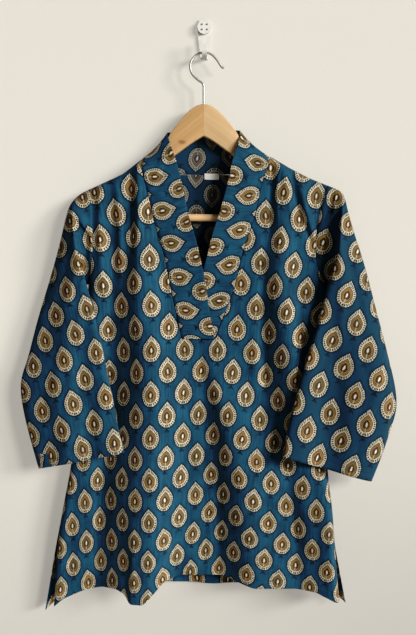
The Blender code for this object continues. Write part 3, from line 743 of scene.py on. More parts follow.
def ripple(x, z):
    """The faint unevenness of washed cotton: three crossed waves, two of them bent by slower ones."""
    wave = np.sin(x / 11.3 + 1.7 * np.sin(z / 61.0)) * np.sin(z / 93.0 + 0.6 * np.sin(x / 47.0))
    wave = wave + 0.6 * np.sin(x / 6.1 + 2.3 * np.sin(z / 37.0 + 1.1)) * np.sin(z / 29.0 + x / 83.0)
    wave = wave + 0.5 * np.sin((x + 0.6 * z) / 17.0) * np.sin((x - 0.8 * z) / 23.0 + 0.8)
    return RIPPLE * wave


# ---------------------------------------------------------------- depth of the two panels
def side_depths(z):
    """Depths of the side edges of front and back. They meet between the armhole and the side slit."""
    front = read(FRONT_DEPTH, "z", "edge", z, DEPTH_REACH)
    back = read(BACK_DEPTH, "z", "edge", z, DEPTH_REACH)
    closed = smooth(SLIT_TOP_Z - SLIT_CLOSING, SLIT_TOP_Z, z)
    parted = smooth(UNDERARM_Z + UNDERARM_PARTING[0], UNDERARM_Z + UNDERARM_PARTING[1], z)
    sewn = closed * (1 - parted)
    middle = (front + back) / 2
    return front + (middle - SEAM / 2 - front) * sewn, back + (middle + SEAM / 2 - back) * sewn


def side_x(sides, side, z):
    """Place of a panel's left or right edge."""
    return read(sides, "z", side, z, SIDE_REACH)


def side_distance(sides, x, z):
    """Distance from the nearer of a panel's side edges."""
    return np.minimum(x - side_x(sides, "left", z), side_x(sides, "right", z) - x)


def shoulder_z(x):
    """Height of the shoulder seams."""
    return read(SHOULDER_LINE, "x", "z", x, SHOULDER_REACH)


def shoulder_turned(y, x, z):
    """Depth of a panel that turns over the shoulder towards its seam."""
    drop = shoulder_z(x) - z
    return SHOULDER_SEAM_Y + (y - SHOULDER_SEAM_Y) * turn(drop, SHOULDER_ROLL)


def front_flat_y(x, z):
    """Depth of the front panel away from its side seams."""
    flat = read(FRONT_DEPTH, "z", "flat", z, DEPTH_REACH)
    return flat - fold_height(FRONT_FOLDS, x, z) - crease_height(FRONT_CREASES, x, z) + ripple(x, z)


def front_y(x, z):
    """Depth of the front panel at x, z, with its turned sides and shoulders."""
    edge = side_depths(z)[0]
    y = edge + (front_flat_y(x, z) - edge) * turn(side_distance(FRONT_SIDES, x, z), SIDE_ROLL)
    return shoulder_turned(y, x, z) - SEAM / 2


def back_y(x, z):
    """Depth of the back panel at x, z. Its neck edge stays flat."""
    edge = side_depths(z)[1]
    flat = read(BACK_DEPTH, "z", "flat", z, DEPTH_REACH) - fold_height(BACK_FOLDS, x, z)
    flat = flat - crease_height(BACK_CREASES, x, z) + ripple(x + 40, z)
    y = edge + (flat - edge) * turn(side_distance(BACK_SIDES, x, z), BACK_SIDE_ROLL)
    on_shoulder = np.clip((np.abs(x) - NECK_FLAT_HALF) / NECK_BLEND, 0, 1)
    return y + (shoulder_turned(y, x, z) - y) * on_shoulder + SEAM / 2


# ---------------------------------------------------------------- laying out cloth
class Cloth:
    """A piece of cloth while it is laid out: points in millimetres, faces and their coordinates.

    A row is its point numbers, their places in the flat cloth, and their distances along and from
    the nearest stitched edge. Patches that share points may have their own flat places."""

    def __init__(self):
        self.points = []
        self.faces = []
        self.flat = []
        self.stitches = []

    def row(self, x, y, z):
        """Adds a row of points and gives their numbers."""
        first = len(self.points)
        x, y, z = np.broadcast_arrays(x, y, z)
        self.points.extend(zip(x.tolist(), y.tolist(), z.tolist()))
        return np.arange(first, len(self.points))

    def patch(self, numbers, places, stitches, flip=False):
        """Adds the quads between rows of point numbers, with the coordinates of their corners."""
        around = (0, 3, 2, 1) if flip else (0, 1, 2, 3)
        for grid, quads in ((numbers, self.faces), (places, self.flat), (stitches, self.stitches)):
            grid = np.asarray(grid)
            corners = (grid[:-1, :-1], grid[:-1, 1:], grid[1:, 1:], grid[1:, :-1])
            joined = np.stack([corners[corner] for corner in around], axis=2)
            quads.extend(joined.reshape((-1, 4) + joined.shape[3:]).tolist())

    def join(self, rows, flip=False):
        """Joins rows that were laid one after the other."""
        numbers, places, stitches = zip(*rows)
        self.patch(numbers, places, stitches, flip)

    def piece(self, name, material, wall, wrong_side=None):
        """Makes the finished sheet, its wall half on each side. wrong_side is its finish on the inside."""
        data = bpy.data.meshes.new(name)
        points = MM * np.array(self.points)
        data.from_pydata(points.tolist(), [], self.faces)
        data.update()
        made = bpy.data.objects.new(name, data)
        bpy.context.scene.collection.objects.link(made)
        data.materials.append(material)
        for layer_name, values in (("cloth", self.flat), ("stitching", self.stitches)):
            layer = data.uv_layers.new(name=layer_name)
            layer.data.foreach_set("uv", (MM * np.array(values)).astype(np.float32).ravel())
        data.uv_layers["cloth"].active_render = True
        data.polygons.foreach_set("use_smooth", [True] * len(data.polygons))
        solid = made.modifiers.new("wall", "SOLIDIFY")
        solid.thickness = wall * MM
        solid.offset = 0
        solid.use_rim = True
        if wrong_side:
            data.materials.append(wrong_side)
            solid.material_offset = 1
        return made


class ClothRun:
    """Distance across a panel, measured along its surface from an upright grain line.

    use says how much a slope's depth counts, first where the panel comes forward, then where it
    goes back."""

    def __init__(self, depth, grain_x, use):
        x, z = np.meshgrid(RUN_X, RUN_Z)
        change = np.diff(depth(x, z), axis=1)
        step = np.hypot(np.diff(x, axis=1), change * np.where(change < 0, *use))
        run = np.concatenate((np.zeros((len(RUN_Z), 1)), np.cumsum(step, axis=1)), axis=1)
        grain = np.array([np.interp(grain_x, RUN_X, row) for row in run])
        self.run = run - grain[:, None]

    def at(self, x, z):
        """The distance at x, z, between the four nearest places where it was measured."""
        column, along = self.step(x, RUN_X)
        row, up = self.step(z, RUN_Z)
        near = self.run[row, column] * (1 - along) + self.run[row, column + 1] * along
        far = self.run[row + 1, column] * (1 - along) + self.run[row + 1, column + 1] * along
        return near * (1 - up) + far * up

    @staticmethod
    def step(place, marks):
        """Number of the even mark before a place, and how far on to the next one the place lies."""
        count = np.clip((place - marks[0]) / (marks[1] - marks[0]), 0, len(marks) - 1.001)
        whole = count.astype(int)
        return whole, count - whole


class Panel:
    """The front or the back while it is laid out."""

    def __init__(self, depth, sides, leaf, inside, fold_use=(1, 1)):
        self.depth = depth
        self.sides = sides
        self.leaf = leaf
        self.inside = inside        # +1 where the panel's inside is behind it, -1 where it is in front
        self.run = ClothRun(depth, leaf[0], fold_use)
        self.cloth = Cloth()

    def between_sides(self, z, across):
        """Place between the left side edge (0) and the right one (1)."""
        return side_x(self.sides, "left", z) * (1 - across) + side_x(self.sides, "right", z) * across

    def print_place(self, x, z):
        """Place in the flat cloth, counted from one leaf of the print."""
        leaf_x, leaf_z, up = self.leaf
        away = self.run.at(x, z) - self.run.at(leaf_x, leaf_z)
        rise = up * (z - leaf_z)
        if self.leaf is FRONT_LEAF:
            away = away + drift(DRIFT_ACROSS, x, z)
            rise = rise + drift(DRIFT_UP, x, z)
        return np.stack((away, rise), axis=-1)

    def edge_stitches(self, x, z, hem_z):
        """Distance along and from the nearest hemmed edge."""
        from_hem = z - hem_z
        from_slit = np.where(z < SLIT_TOP_Z, side_distance(self.sides, x, z), FAR)
        return np.stack((np.where(from_hem < from_slit, x, z), np.minimum(from_hem, from_slit)), axis=-1)

    def lay(self, x, z, hem_z):
        """Adds a row of the panel."""
        return self.cloth.row(x, self.depth(x, z), z), self.print_place(x, z), self.edge_stitches(x, z, hem_z)

    def turn_hem(self, edge_row, hem_z, across):
        """Turns the hem up on the inside."""
        _, edge_place, edge_stitch = edge_row
        rows = [edge_row]
        for up, lift in PANEL_HEM:
            z = hem_z + up
            x = self.between_sides(z, across)
            y = self.depth(x, z) + self.inside * lift * HEM_LIFT
            place = edge_place - np.array((0, self.leaf[2] * abs(up)))
            rows.append((self.cloth.row(x, y, z), place, edge_stitch + np.array((0, up))))
        self.cloth.join(rows, flip=self.inside > 0)


# ---------------------------------------------------------------- finishes
class Value:
    """A number that varies over a surface. Arithmetic on it adds the nodes that work it out."""

    def __init__(self, finish, socket):
        self.finish = finish
        self.socket = socket

    def __add__(self, other):
        return self.finish.maths("ADD", self, other)

    def __sub__(self, other):
        return self.finish.maths("SUBTRACT", self, other)

    def __mul__(self, other):
        return self.finish.maths("MULTIPLY", self, other)

    def __truediv__(self, other):
        return self.finish.maths("DIVIDE", self, other)

    def __pow__(self, other):
        return self.finish.maths("POWER", self, other)

    def __rsub__(self, other):
        return self.finish.maths("SUBTRACT", other, self)

    def __rtruediv__(self, other):
        return self.finish.maths("DIVIDE", other, self)

    def __neg__(self):
        return self.finish.maths("MULTIPLY", self, -1.0)

    def __abs__(self):
        return self.finish.maths("ABSOLUTE", self)

    __radd__ = __add__
    __rmul__ = __mul__


class Finish:
    """One material while it is mixed."""

    def __init__(self, name, **constants):
        self.material = bpy.data.materials.new(name)
        self.material.use_nodes = True
        self.tree = self.material.node_tree
        self.shader = self.tree.nodes["Principled BSDF"]
        for socket, value in constants.items():
            self.shader.inputs[socket.replace("_", " ")].default_value = value

    def node(self, kind, settings=None, **inputs):
        """Adds a node: its settings first, then values or links for its sockets.

        A socket goes by its name, or by its number after an underscore."""
        made = self.tree.nodes.new(kind)
        for name, value in (settings or {}).items():
            setattr(made, name, value)
        for key, value in inputs.items():
            key = int(key[1:]) if key[1:].isdigit() else key.replace("_", " ")
            self.feed(made.inputs[key], value)
        return made

    def feed(self, socket, value):
        """Links a varying value to a socket, or sets a constant one."""
        if isinstance(value, Value):
            self.tree.links.new(value.socket, socket)
        elif isinstance(value, bpy.types.NodeSocket):
            self.tree.links.new(value, socket)
        elif isinstance(value, tuple) and len(value) == 3 and socket.type == "RGBA":
            socket.default_value = (*value, 1)
        else:
            socket.default_value = value

    def maths(self, operation, *values):
        """A number worked out from others."""
        made = self.tree.nodes.new("ShaderNodeMath")
        made.operation = operation
        for socket, value in zip(made.inputs, values):
            self.feed(socket, value)
        return Value(self, made.outputs[0])

    def length(self, x, y):
        """Distance from the middle at x, y."""
        return self.maths("SQRT", x * x + y * y)

    def wave(self, place, spacing):
        """A sine wave whose crests lie a spacing apart."""
        return self.maths("SINE", place * (2 * math.pi / spacing))

    def rise(self, value, low, high):
        """0 below low, 1 above high. Where low is above high it falls instead."""
        made = self.node("ShaderNodeMapRange", {"interpolation_type": "SMOOTHSTEP"}, Value=value)
        falls = low > high
        made.inputs["From Min"].default_value = min(low, high)
        made.inputs["From Max"].default_value = max(low, high)
        made.inputs["To Min"].default_value = 1.0 if falls else 0.0
        made.inputs["To Max"].default_value = 0.0 if falls else 1.0
        return Value(self, made.outputs["Result"])

    def object_place(self):
        """Place on the object, in metres."""
        return self.node("ShaderNodeTexCoord").outputs["Object"]

    def layer_place(self, layer_name):
        """Place on the piece's own coordinates of that name, in metres."""
        return self.node("ShaderNodeUVMap", {"uv_map": layer_name}).outputs[0]

    def parts(self, vector):
        """A vector's three numbers."""
        made = self.node("ShaderNodeSeparateXYZ", _0=vector)
        return [Value(self, output) for output in made.outputs]

    def vector(self, x, y, z=0.0):
        """A vector of three numbers."""
        return self.node("ShaderNodeCombineXYZ", X=x, Y=y, Z=z).outputs[0]

    def blend(self, share, colour, other):
        """One colour where share is 0, the other where it is 1."""
        made = self.node("ShaderNodeMix", {"data_type": "RGBA"})
        self.feed(made.inputs[0], share)
        self.feed(made.inputs[6], colour)
        self.feed(made.inputs[7], other)
        return made.outputs[2]

    def noise(self, vector, scale, detail=2.0, roughness=0.5):
        """Soft unevenness between 0 and 1."""
        made = self.node("ShaderNodeTexNoise", Vector=vector, Scale=scale, Detail=detail, Roughness=roughness)
        return Value(self, made.outputs[0])

    def bump(self, height, distance, strength=1.0, before=None):
        """A small relief, laid over another where before is given."""
        made = self.node("ShaderNodeBump", Height=height, Distance=distance, Strength=strength)
        if before is not None:
            self.feed(made.inputs["Normal"], before)
        return made.outputs[0]

    def done(self, colour, roughness=None, normal=None):
        """Hands over the material with its colour, roughness and relief."""
        self.feed(self.shader.inputs["Base Color"], colour)
        if roughness is not None:
            self.feed(self.shader.inputs["Roughness"], roughness)
        if normal is not None:
            self.feed(self.shader.inputs["Normal"], normal)
        return self.material


# Dyes of the ground and of the printing blocks, and the shadow beside the stitches. INDIGO_DEEP is also the
# painted shade of the cloth's shaded copies.
INDIGO = (0.0155, 0.070, 0.129)
INDIGO_DEEP = (0.0088, 0.036, 0.066)
RESIST_LINE = (0.004, 0.012, 0.020)
CREAM = (0.56, 0.505, 0.375)
WORN_CREAM = (0.33, 0.30, 0.21)
BARK = (0.045, 0.026, 0.014)
MUSTARD = (0.36, 0.190, 0.055)
OLIVE = (0.15, 0.105, 0.040)
CORE_WHITE = (0.68, 0.64, 0.53)
STEM_TAN = (0.50, 0.38, 0.20)
STITCH_SHADOW = (0.02, 0.05, 0.09)

# The leaf, in millimetres from the middle of its length, its tip up.
LEAF_MIDDLE = 3.2           # how far the widest place lies below the middle
LEAF_RADIUS = 13.27
LEAF_TIP = 9.36             # how much further the tip reaches, and the foot
LEAF_FOOT = 3.06
TIP_ANGLE = 0.44            # how quickly the outline falls back beside the tip, in radians
TIP_POWER = 0.95
CORE_WIDTH = 1.45
CORE_LENGTH = 3.8
CORE_DROP = 2.6
# Teeth round its edge. Distance round the edge grows with the angle, and faster near the tip.
TICK_SPACING = 3.7
EDGE_RUN = 14.8
TIP_RUN = 5.5
TIP_RUN_ANGLE = 0.35
# Its rings, as shares of the way from the middle to the outline: where each starts and is full.
HALO_EDGE = (1.24, 1.05)
LEAF_EDGE = (1.02, 0.96)
TICKS_OUTSIDE = (0.965, 0.915)
TICKS_INSIDE = (0.72, 0.78)
RIM_EDGE = (0.685, 0.650)
GOLD_EDGE = (0.595, 0.560)
LINE_EDGE = (0.405, 0.365)
CORE_EDGE = (1.1, 0.75)
VEIN_RING = 0.485
VEIN_EDGE = (0.055, 0.015)
# Its stem, and the sprig below it, a foot and two toes. Edges and ends are in millimetres, where
# each starts and is full; the stem changes colour at two of the leaf's rings.
STEM_TOP = (-7.0, -8.5)
STEM_EDGE = (0.95, 0.5)
STEM_INSIDE = (0.66, 0.62)
NOTCH_OUTSIDE = (0.66, 0.72)
FOOT_EDGE = (1.2, 0.7)
FOOT_LOW = (-28.0, -27.0)
FOOT_HIGH = (-20.0, -20.8)
TOE_DROP = 22.8
TOE_SLOPE = 1.05
TOE_EDGE = (1.9, 1.0)
TOE_END = (5.0, 4.0)
STEM_SMEAR = 0.8
FAINTEST_SPRIG = 0.75
# Chance in each leaf's place and turn, and in that of the second block within it.
LEAF_SHIFT = 1.6
LEAF_TURN = 0.16
SECOND_BLOCK_SHIFT = 0.9
# Grain of the unevenness, in waves for each metre.
SMEAR_GRAIN = 190.0
WEAR_GRAIN = 420.0
BLOT_GRAIN = 150.0
CLOUD_GRAIN = 34.0
STREAK_ACROSS = 420
STREAK_UP = 26
# How far smears move the print, in millimetres, and wear and blots move the edges of its rings.
SMEAR = 2.4
TOOTH_DEPTH = 0.020
OUTLINE_WEAR = 0.10
INNER_WEAR = 0.06
TICK_WEAR = 1.5
TICK_BLOT = 2.2
TICK_EDGE = (0.60, -0.05)
# How the colours vary: worn cream and cream darkened by painted shade, olive in the mustard, faint cores, and
# the ground's streaks.
CREAM_SHADE = 0.2
CREAM_BLOT = 0.4
CREAM_EDGE = (0.60, 0.38)
CREAM_WEAR = 0.5
OLIVE_CHANCE = 0.3
OLIVE_EDGE = (0.3, 0.9)
CORE_FADE = 0.4
GROUND_CONTRAST = 1.5
GROUND_TONE = 0.42
GROUND_EDGE = (0.9, 0.0)
# How strongly the thin lines are printed, and how rough the bare cloth is and the leaves on it.
VEIN_STRENGTH = 0.85
STEM_STRENGTH = 0.6
NOTCH_STRENGTH = 0.8
CLOTH_ROUGHNESS = 0.90
LEAF_SMOOTHER = 0.08
# Sewing and weave, in millimetres, and their relief in metres.
STITCH_SPACING = 3.1
STITCH_EDGE = (0.28, 0.16)
STITCH_ENDS = (0.44, 0.38)  # as shares of the spacing from a stitch's middle
STITCH_STRENGTH = 0.85
TROUGH_EDGE = (1.6, 0.2)
WARP_SPACING = 0.62
WEFT_SPACING = 0.66
WEAVE_RELIEF = 0.00006
SEWN_RELIEF = 0.0005


class Print(Finish):
    """Plain-weave cotton, block printed with a half-drop of leaves on an indigo ground."""

    def __init__(self, name, dye_strength):
        super().__init__(name, Sheen_Weight=0.04, Sheen_Roughness=0.5, Specular_IOR_Level=0.18)
        # dye_strength is painted shade: it deepens the ground and darkens the cream on the shaded copies of
        # the cloth.
        self.dye_strength = dye_strength
        self.place = self.layer_place("cloth")
        self.across, self.up, _ = self.parts(self.place)
        smear = self.node("ShaderNodeTexNoise", Vector=self.place, Scale=SMEAR_GRAIN, Detail=2.0)
        self.smear, smear_up, _ = self.parts(smear.outputs["Color"])
        self.u = self.across * 1000 + (self.smear - 0.5) * SMEAR
        self.v = self.up * 1000 + (smear_up - 0.5) * SMEAR
        self.wear = self.noise(self.place, WEAR_GRAIN, 3.0)
        self.blot = self.noise(self.place, BLOT_GRAIN, 2.0)
        self.cloud = self.noise(self.place, CLOUD_GRAIN, 3.0)
        self.half_drop()

    def half_drop(self):
        """Finds the leaf of the two lattices that a place belongs to, and the place on that leaf."""
        column = self.maths("ROUND", self.u / REPEAT_ACROSS)
        row = self.maths("ROUND", self.v / REPEAT_UP)
        x = self.u - column * REPEAT_ACROSS
        y = self.v - row * REPEAT_UP
        side = self.maths("SIGN", x)
        end = self.maths("SIGN", y)
        distance = abs(x) / (REPEAT_ACROSS / 2) + abs(y) / (REPEAT_UP / 2)
        other = self.maths("GREATER_THAN", distance, 1.0)
        x = x - other * side * (REPEAT_ACROSS / 2)
        y = y - other * end * (REPEAT_UP / 2)
        leaf_number = self.vector(column + other * side * 0.5, row + other * end * 0.5)
        chance = self.node("ShaderNodeTexWhiteNoise", {"noise_dimensions": "2D"}, Vector=leaf_number)
        self.chances = self.parts(chance.outputs["Color"])
        tilt = (self.chances[2] - 0.5) * LEAF_TURN
        x = x + (self.chances[0] - 0.5) * LEAF_SHIFT
        y = y + (self.chances[1] - 0.5) * LEAF_SHIFT
        self.x = x + tilt * y
        self.y = y - tilt * x

    def leaf_share(self, x, y):
        """Distance from the leaf's middle as a share of the outline in that direction, and the direction."""
        low_y = y + LEAF_MIDDLE
        angle = abs(self.maths("ARCTAN2", x, low_y))
        reach = self.length(x, low_y)
        tip = self.maths("EXPONENT", -((angle / TIP_ANGLE) ** TIP_POWER))
        below = self.maths("MINIMUM", low_y / reach, 0.0)
        return reach / (tip * LEAF_TIP + below * below * LEAF_FOOT + LEAF_RADIUS), angle

    def teeth(self, angle):
        """A wave round the leaf's edge, 1 on each tooth and -1 between two."""
        near_tip = 1 - self.maths("EXPONENT", -(angle / TIP_RUN_ANGLE))
        edge_run = angle * EDGE_RUN + near_tip * TIP_RUN
        return self.maths("COSINE", edge_run * (2 * math.pi / TICK_SPACING))

    def leaf(self):
        """Where a leaf lies, where its resist halo lies, and its colour."""
        share, angle = self.leaf_share(self.x, self.y)
        teeth = self.teeth(angle)
        outline = share - teeth * TOOTH_DEPTH + (self.wear - 0.5) * OUTLINE_WEAR
        tick_band = self.rise(share, *TICKS_INSIDE) * self.rise(share, *TICKS_OUTSIDE)
        tick_wear = teeth + (self.wear - 0.5) * TICK_WEAR + (self.blot - 0.5) * TICK_BLOT
        ticks = tick_band * self.rise(tick_wear, *TICK_EDGE)
        # Painted shade: dye_strength darkens the cream, on top of its real wear and blots.
        cream_wear = self.wear - self.dye_strength * CREAM_SHADE + (self.blot - 0.5) * CREAM_BLOT
        cream = self.blend(self.rise(cream_wear, *CREAM_EDGE) * CREAM_WEAR, CREAM, WORN_CREAM)
        colour = self.blend(ticks, cream, RESIST_LINE)
        colour = self.inner_rings(colour, share)
        return self.rise(outline, *LEAF_EDGE), self.rise(outline, *HALO_EDGE), colour

    def inner_rings(self, colour, share):
        """Adds what the second block prints inside a leaf, a little out of place, and the stem."""
        shift_x = (self.chances[1] - 0.5) * SECOND_BLOCK_SHIFT
        shift_y = (self.chances[0] - 0.5) * SECOND_BLOCK_SHIFT
        inner, _ = self.leaf_share(self.x + shift_x, self.y + shift_y)
        inner = inner + (self.wear - 0.5) * INNER_WEAR
        olive = self.rise(self.cloud + self.chances[0] * OLIVE_CHANCE, *OLIVE_EDGE)
        mustard = self.blend(olive, MUSTARD, OLIVE)
        core = self.length(self.x / CORE_WIDTH, (self.y + CORE_DROP) / CORE_LENGTH)
        from_stem = abs(self.x + (self.smear - 0.5) * STEM_SMEAR)
        stem = self.rise(from_stem, *STEM_EDGE) * self.rise(self.y, *STEM_TOP)
        for where, ink in (
            (self.rise(inner, *RIM_EDGE), BARK),
            (self.rise(inner, *GOLD_EDGE), mustard),
            (self.rise(abs(inner - VEIN_RING), *VEIN_EDGE) * VEIN_STRENGTH, BARK),
            (self.rise(inner, *LINE_EDGE), BARK),
            (self.rise(core, *CORE_EDGE) * (1 - self.chances[2] * CORE_FADE), CORE_WHITE),
            (stem * self.rise(inner, *STEM_INSIDE) * STEM_STRENGTH, STEM_TAN),
            (stem * self.rise(share, *NOTCH_OUTSIDE) * NOTCH_STRENGTH, BARK),
        ):
            colour = self.blend(where, colour, ink)
        return colour

    def sprig(self):
        """Where the small sprig below each leaf lies."""
        aside = abs(self.x)
        foot = self.rise(aside, *FOOT_EDGE) * self.rise(self.y, *FOOT_LOW) * self.rise(self.y, *FOOT_HIGH)
        from_toe = abs(self.y + TOE_DROP + aside * TOE_SLOPE)
        toes = self.rise(from_toe, *TOE_EDGE) * self.rise(aside, *TOE_END)
        strength = FAINTEST_SPRIG + self.chances[1] * (1 - FAINTEST_SPRIG)
        return self.maths("MAXIMUM", foot, toes) * strength

    def ground(self):
        """The dyed ground, which took unevenly, with faint streaks along the warp, and deepened by painted
        shade as dye_strength asks.
        """
        streak = self.noise(self.vector(self.across * STREAK_ACROSS, self.up * STREAK_UP), 1.0, 3.0)
        tone = (streak - 0.5) * GROUND_CONTRAST + (self.cloud - 0.5) * GROUND_CONTRAST + GROUND_TONE
        # Painted shade: dye_strength turns more of the ground deep indigo.
        colour = self.blend(self.rise(tone - self.dye_strength, *GROUND_EDGE), INDIGO, INDIGO_DEEP)
        return self.blend(self.sprig(), colour, RESIST_LINE)

    def sewing(self):
        """Where the stitches along each hem lie, and the trough that they pull."""
        run, off, _ = self.parts(self.layer_place("stitching"))
        from_line = abs(off * 1000 - HEM_STITCH)
        dash = abs(self.maths("FRACT", run * 1000 / STITCH_SPACING) - 0.5)
        thread = self.rise(from_line, *STITCH_EDGE) * self.rise(dash, *STITCH_ENDS)
        return thread, self.rise(from_line, *TROUGH_EDGE)


def printed_cotton(name, dye_strength, dimmed=0):
    """The garment's cloth. dye_strength paints shade into it. dimmed is the share of the leaves that turns
    deep indigo on its wrong side, partly as fainter print and partly as painted shade.
    """
    cotton = Print(name, dye_strength)
    leaf, halo, leaf_colour = cotton.leaf()
    ground = cotton.blend(halo, cotton.ground(), RESIST_LINE)
    colour = cotton.blend(leaf, ground, leaf_colour)
    if dimmed:
        # Partly painted shade: on the wrong side the leaves go partly to deep indigo.
        colour = cotton.blend(leaf * dimmed, colour, INDIGO_DEEP)
    thread, trough = cotton.sewing()
    colour = cotton.blend(thread * STITCH_STRENGTH, colour, STITCH_SHADOW)
    weave = cotton.wave(cotton.u, WARP_SPACING) * cotton.wave(cotton.v, WEFT_SPACING) * 0.5 + 0.5
    fine = cotton.bump(weave + cotton.wear * 0.8, WEAVE_RELIEF, 0.5)
    sewn = cotton.bump(thread * 0.5 - trough, SEWN_RELIEF, 0.7, fine)
    roughness = CLOTH_ROUGHNESS - leaf * LEAF_SMOOTHER + (cotton.wear - 0.5) * 0.1
    return cotton.done(colour, roughness, sewn)


# The other finishes, each from its first tone to its second.
TAPE_TONES = (0.88, 0.86, 0.80), (0.94, 0.92, 0.88)
NICKEL_TONES = (0.40, 0.40, 0.38), (0.50, 0.50, 0.475)
PIN_TONES = (0.36, 0.33, 0.29), (0.60, 0.57, 0.52)
PLASTIC_TONES = (0.72, 0.71, 0.67), (0.64, 0.62, 0.56)
# The two arms are one wood in two tones: painted shade darkens the left arm and painted light brightens the
# right.
LEFT_WOOD_SHADED_TONES = (0.56, 0.345, 0.150), (0.42, 0.225, 0.075)
RIGHT_WOOD_LIT_TONES = (0.62, 0.425, 0.220), (0.52, 0.320, 0.140)
BAR_WOOD_TONES = (0.80, 0.54, 0.29), (0.70, 0.43, 0.20)
KNOT_DARK = (0.23, 0.075, 0.025)
# In metres: where the left arm's knot is, how far it pulls the grain aside and over what reach,
# and the edge of its dark heart. Then the rise of each arm's grain for each metre across.
KNOT = (-0.036, -0.174)
KNOT_PULL = 0.004
KNOT_REACH = 0.016
KNOT_HEART = (0.0085, 0.0025)
LEFT_GRAIN_SLOPE = 0.80
RIGHT_GRAIN_SLOPE = -0.75
RIB_SPACING = 0.0006        # of the tape, and the distance between its warp threads, in metres
TAPE_WARP_SPACING = 0.0008


def white_tape():
    """The bare woven tape of the neck label."""
    tape = Finish("white_tape", Sheen_Weight=0.1)
    place = tape.layer_place("cloth")
    across, up, _ = tape.parts(place)
    rib = tape.wave(up, RIB_SPACING) * tape.wave(across, TAPE_WARP_SPACING)
    cloud = tape.noise(place, 300.0)
    colour = tape.blend(cloud, *TAPE_TONES)
    return tape.done(colour, 0.7 + cloud * 0.15, tape.bump(rib, 0.00006, 0.6))


def lacquered_wood(name, pale, dark, slope=0.0, knot=None):
    """Pale hanger wood under satin lacquer. slope is the rise of its grain, and knot a knot's x and z."""
    wood = Finish(name, Coat_Roughness=0.25, Coat_Weight=0.25)
    x, y, z = wood.parts(wood.object_place())
    off = z - x * slope
    if knot:
        aside = x - knot[0]
        above = z - knot[1]
        away = wood.maths("SQRT", aside * aside + above * above * 3.0)
        off = off + wood.rise(away, KNOT_REACH, 0.0) * KNOT_PULL
    grain = wood.noise(wood.vector(x * 9.0, y * 60.0, off * 260.0), 1.0, 4.0, 0.6)
    bands = wood.noise(wood.vector(x * 3.0, y * 12.0, off * 60.0), 1.0, 2.0)
    share = wood.rise(grain * 0.5 + bands * 0.7, 0.42, 0.80)
    colour = wood.blend(share * 0.65, pale, dark)
    fleck = wood.noise(wood.vector(x * 60.0, y * 200.0, off * 700.0), 1.0, 2.0)
    colour = wood.blend(wood.rise(fleck, 0.56, 0.70) * 0.45, colour, dark)
    if knot:
        heart = wood.rise(away + (grain - 0.5) * 0.006, *KNOT_HEART)
        colour = wood.blend(heart * 0.8, colour, KNOT_DARK)
    return wood.done(colour, 0.36 + grain * 0.12, wood.bump(grain, 0.0002, 0.25))


def plated_wire():
    """Nickel plate on drawn wire, a little dull and brushed along."""
    steel = Finish("plated_wire", Metallic=1.0)
    cloud = steel.noise(steel.object_place(), 260.0, 3.0)
    colour = steel.blend(cloud, *NICKEL_TONES)
    return steel.done(colour, 0.52 + cloud * 0.16, steel.bump(cloud, 0.00005, 0.3))


def pin_heads():
    """Bare steel pin heads, spotted here and there."""
    steel = Finish("pin_heads", Metallic=1.0)
    cloud = steel.noise(steel.object_place(), 900.0, 2.0)
    colour = steel.blend(cloud, *PIN_TONES)
    return steel.done(colour, 0.3 + cloud * 0.2, steel.bump(cloud, 0.00004, 0.4))


def hook_plastic():
    """White moulded plastic, a little yellowed in places."""
    plastic = Finish("hook_plastic", Specular_IOR_Level=0.45)
    place = plastic.object_place()
    cloud = plastic.noise(place, 60.0, 3.0)
    grain = plastic.noise(place, 1500.0, 2.0)
    colour = plastic.blend(plastic.rise(cloud, 0.35, 0.75), *PLASTIC_TONES)
    return plastic.done(colour, 0.30 + cloud * 0.18, plastic.bump(grain, 0.00004, 0.3))


COTTON = printed_cotton("printed_cotton", 0.0)
# The right sleeve's cloth, with painted shade in its ground and leaves.
SHADED_COTTON = printed_cotton("cotton_painted_shade", 0.45)
# The cloth's inside: painted shade in its ground, and leaves faded partly as fainter print and partly as
# painted shade.
SHADED_WRONG_SIDE = printed_cotton("cotton_wrong_side_painted_shade", 1.2, 0.45)
TAPE = white_tape()


# ---------------------------------------------------------------- front and back
def front_armhole_levels():
    """Fractions from the underarm (0) to the shoulder tip (1), one for each step of a sleeve ring."""
    under = np.linspace(0, 1 - FOLD_SHARE, SLEEVE_UNDER_STEPS + 1)
    front = 1 - FOLD_SHARE + FOLD_SHARE * ends_spread(SLEEVE_FRONT_STEPS)
    return np.concatenate((under, front[1:]))


def front_across():
    """Fractions from the left to the right side for the front's columns, one on each placket corner."""
    foot_left = BAND_LEFT["seam_x"][0]
    foot_right = BAND_RIGHT["seam_x"][0]
    side_left = side_x(FRONT_SIDES, "left", PLACKET_FOOT_Z)
    side_right = side_x(FRONT_SIDES, "right", PLACKET_FOOT_Z)
    left = side_left + (foot_left - side_left) * outer_spread(FRONT_SIDE_COLUMNS)
    middle = np.linspace(foot_left, foot_right, FRONT_MIDDLE_COLUMNS + 1)[1:-1]
    right = side_right + (foot_right - side_right) * outer_spread(FRONT_SIDE_COLUMNS)[::-1]
    return (np.concatenate((left, middle, right)) - side_left) / (side_right - side_left)


def front_hem_z(x):
    """Height of the front's hem."""
    return read(FRONT_HEM, "x", "z", x, HEM_REACH)


def neck_edge(side):
    """Edge of the front along the band, from the placket's foot to the neck point."""
    band = BAND_LEFT if side == "left" else BAND_RIGHT
    edge = resample(np.array((band["seam_x"], band["seam_z"])).T, NECK_EDGE_POINTS)
    neck_x = band["seam_x"][-1]
    return np.append(edge[:, 0], neck_x), np.append(edge[:, 1], shoulder_z(neck_x))


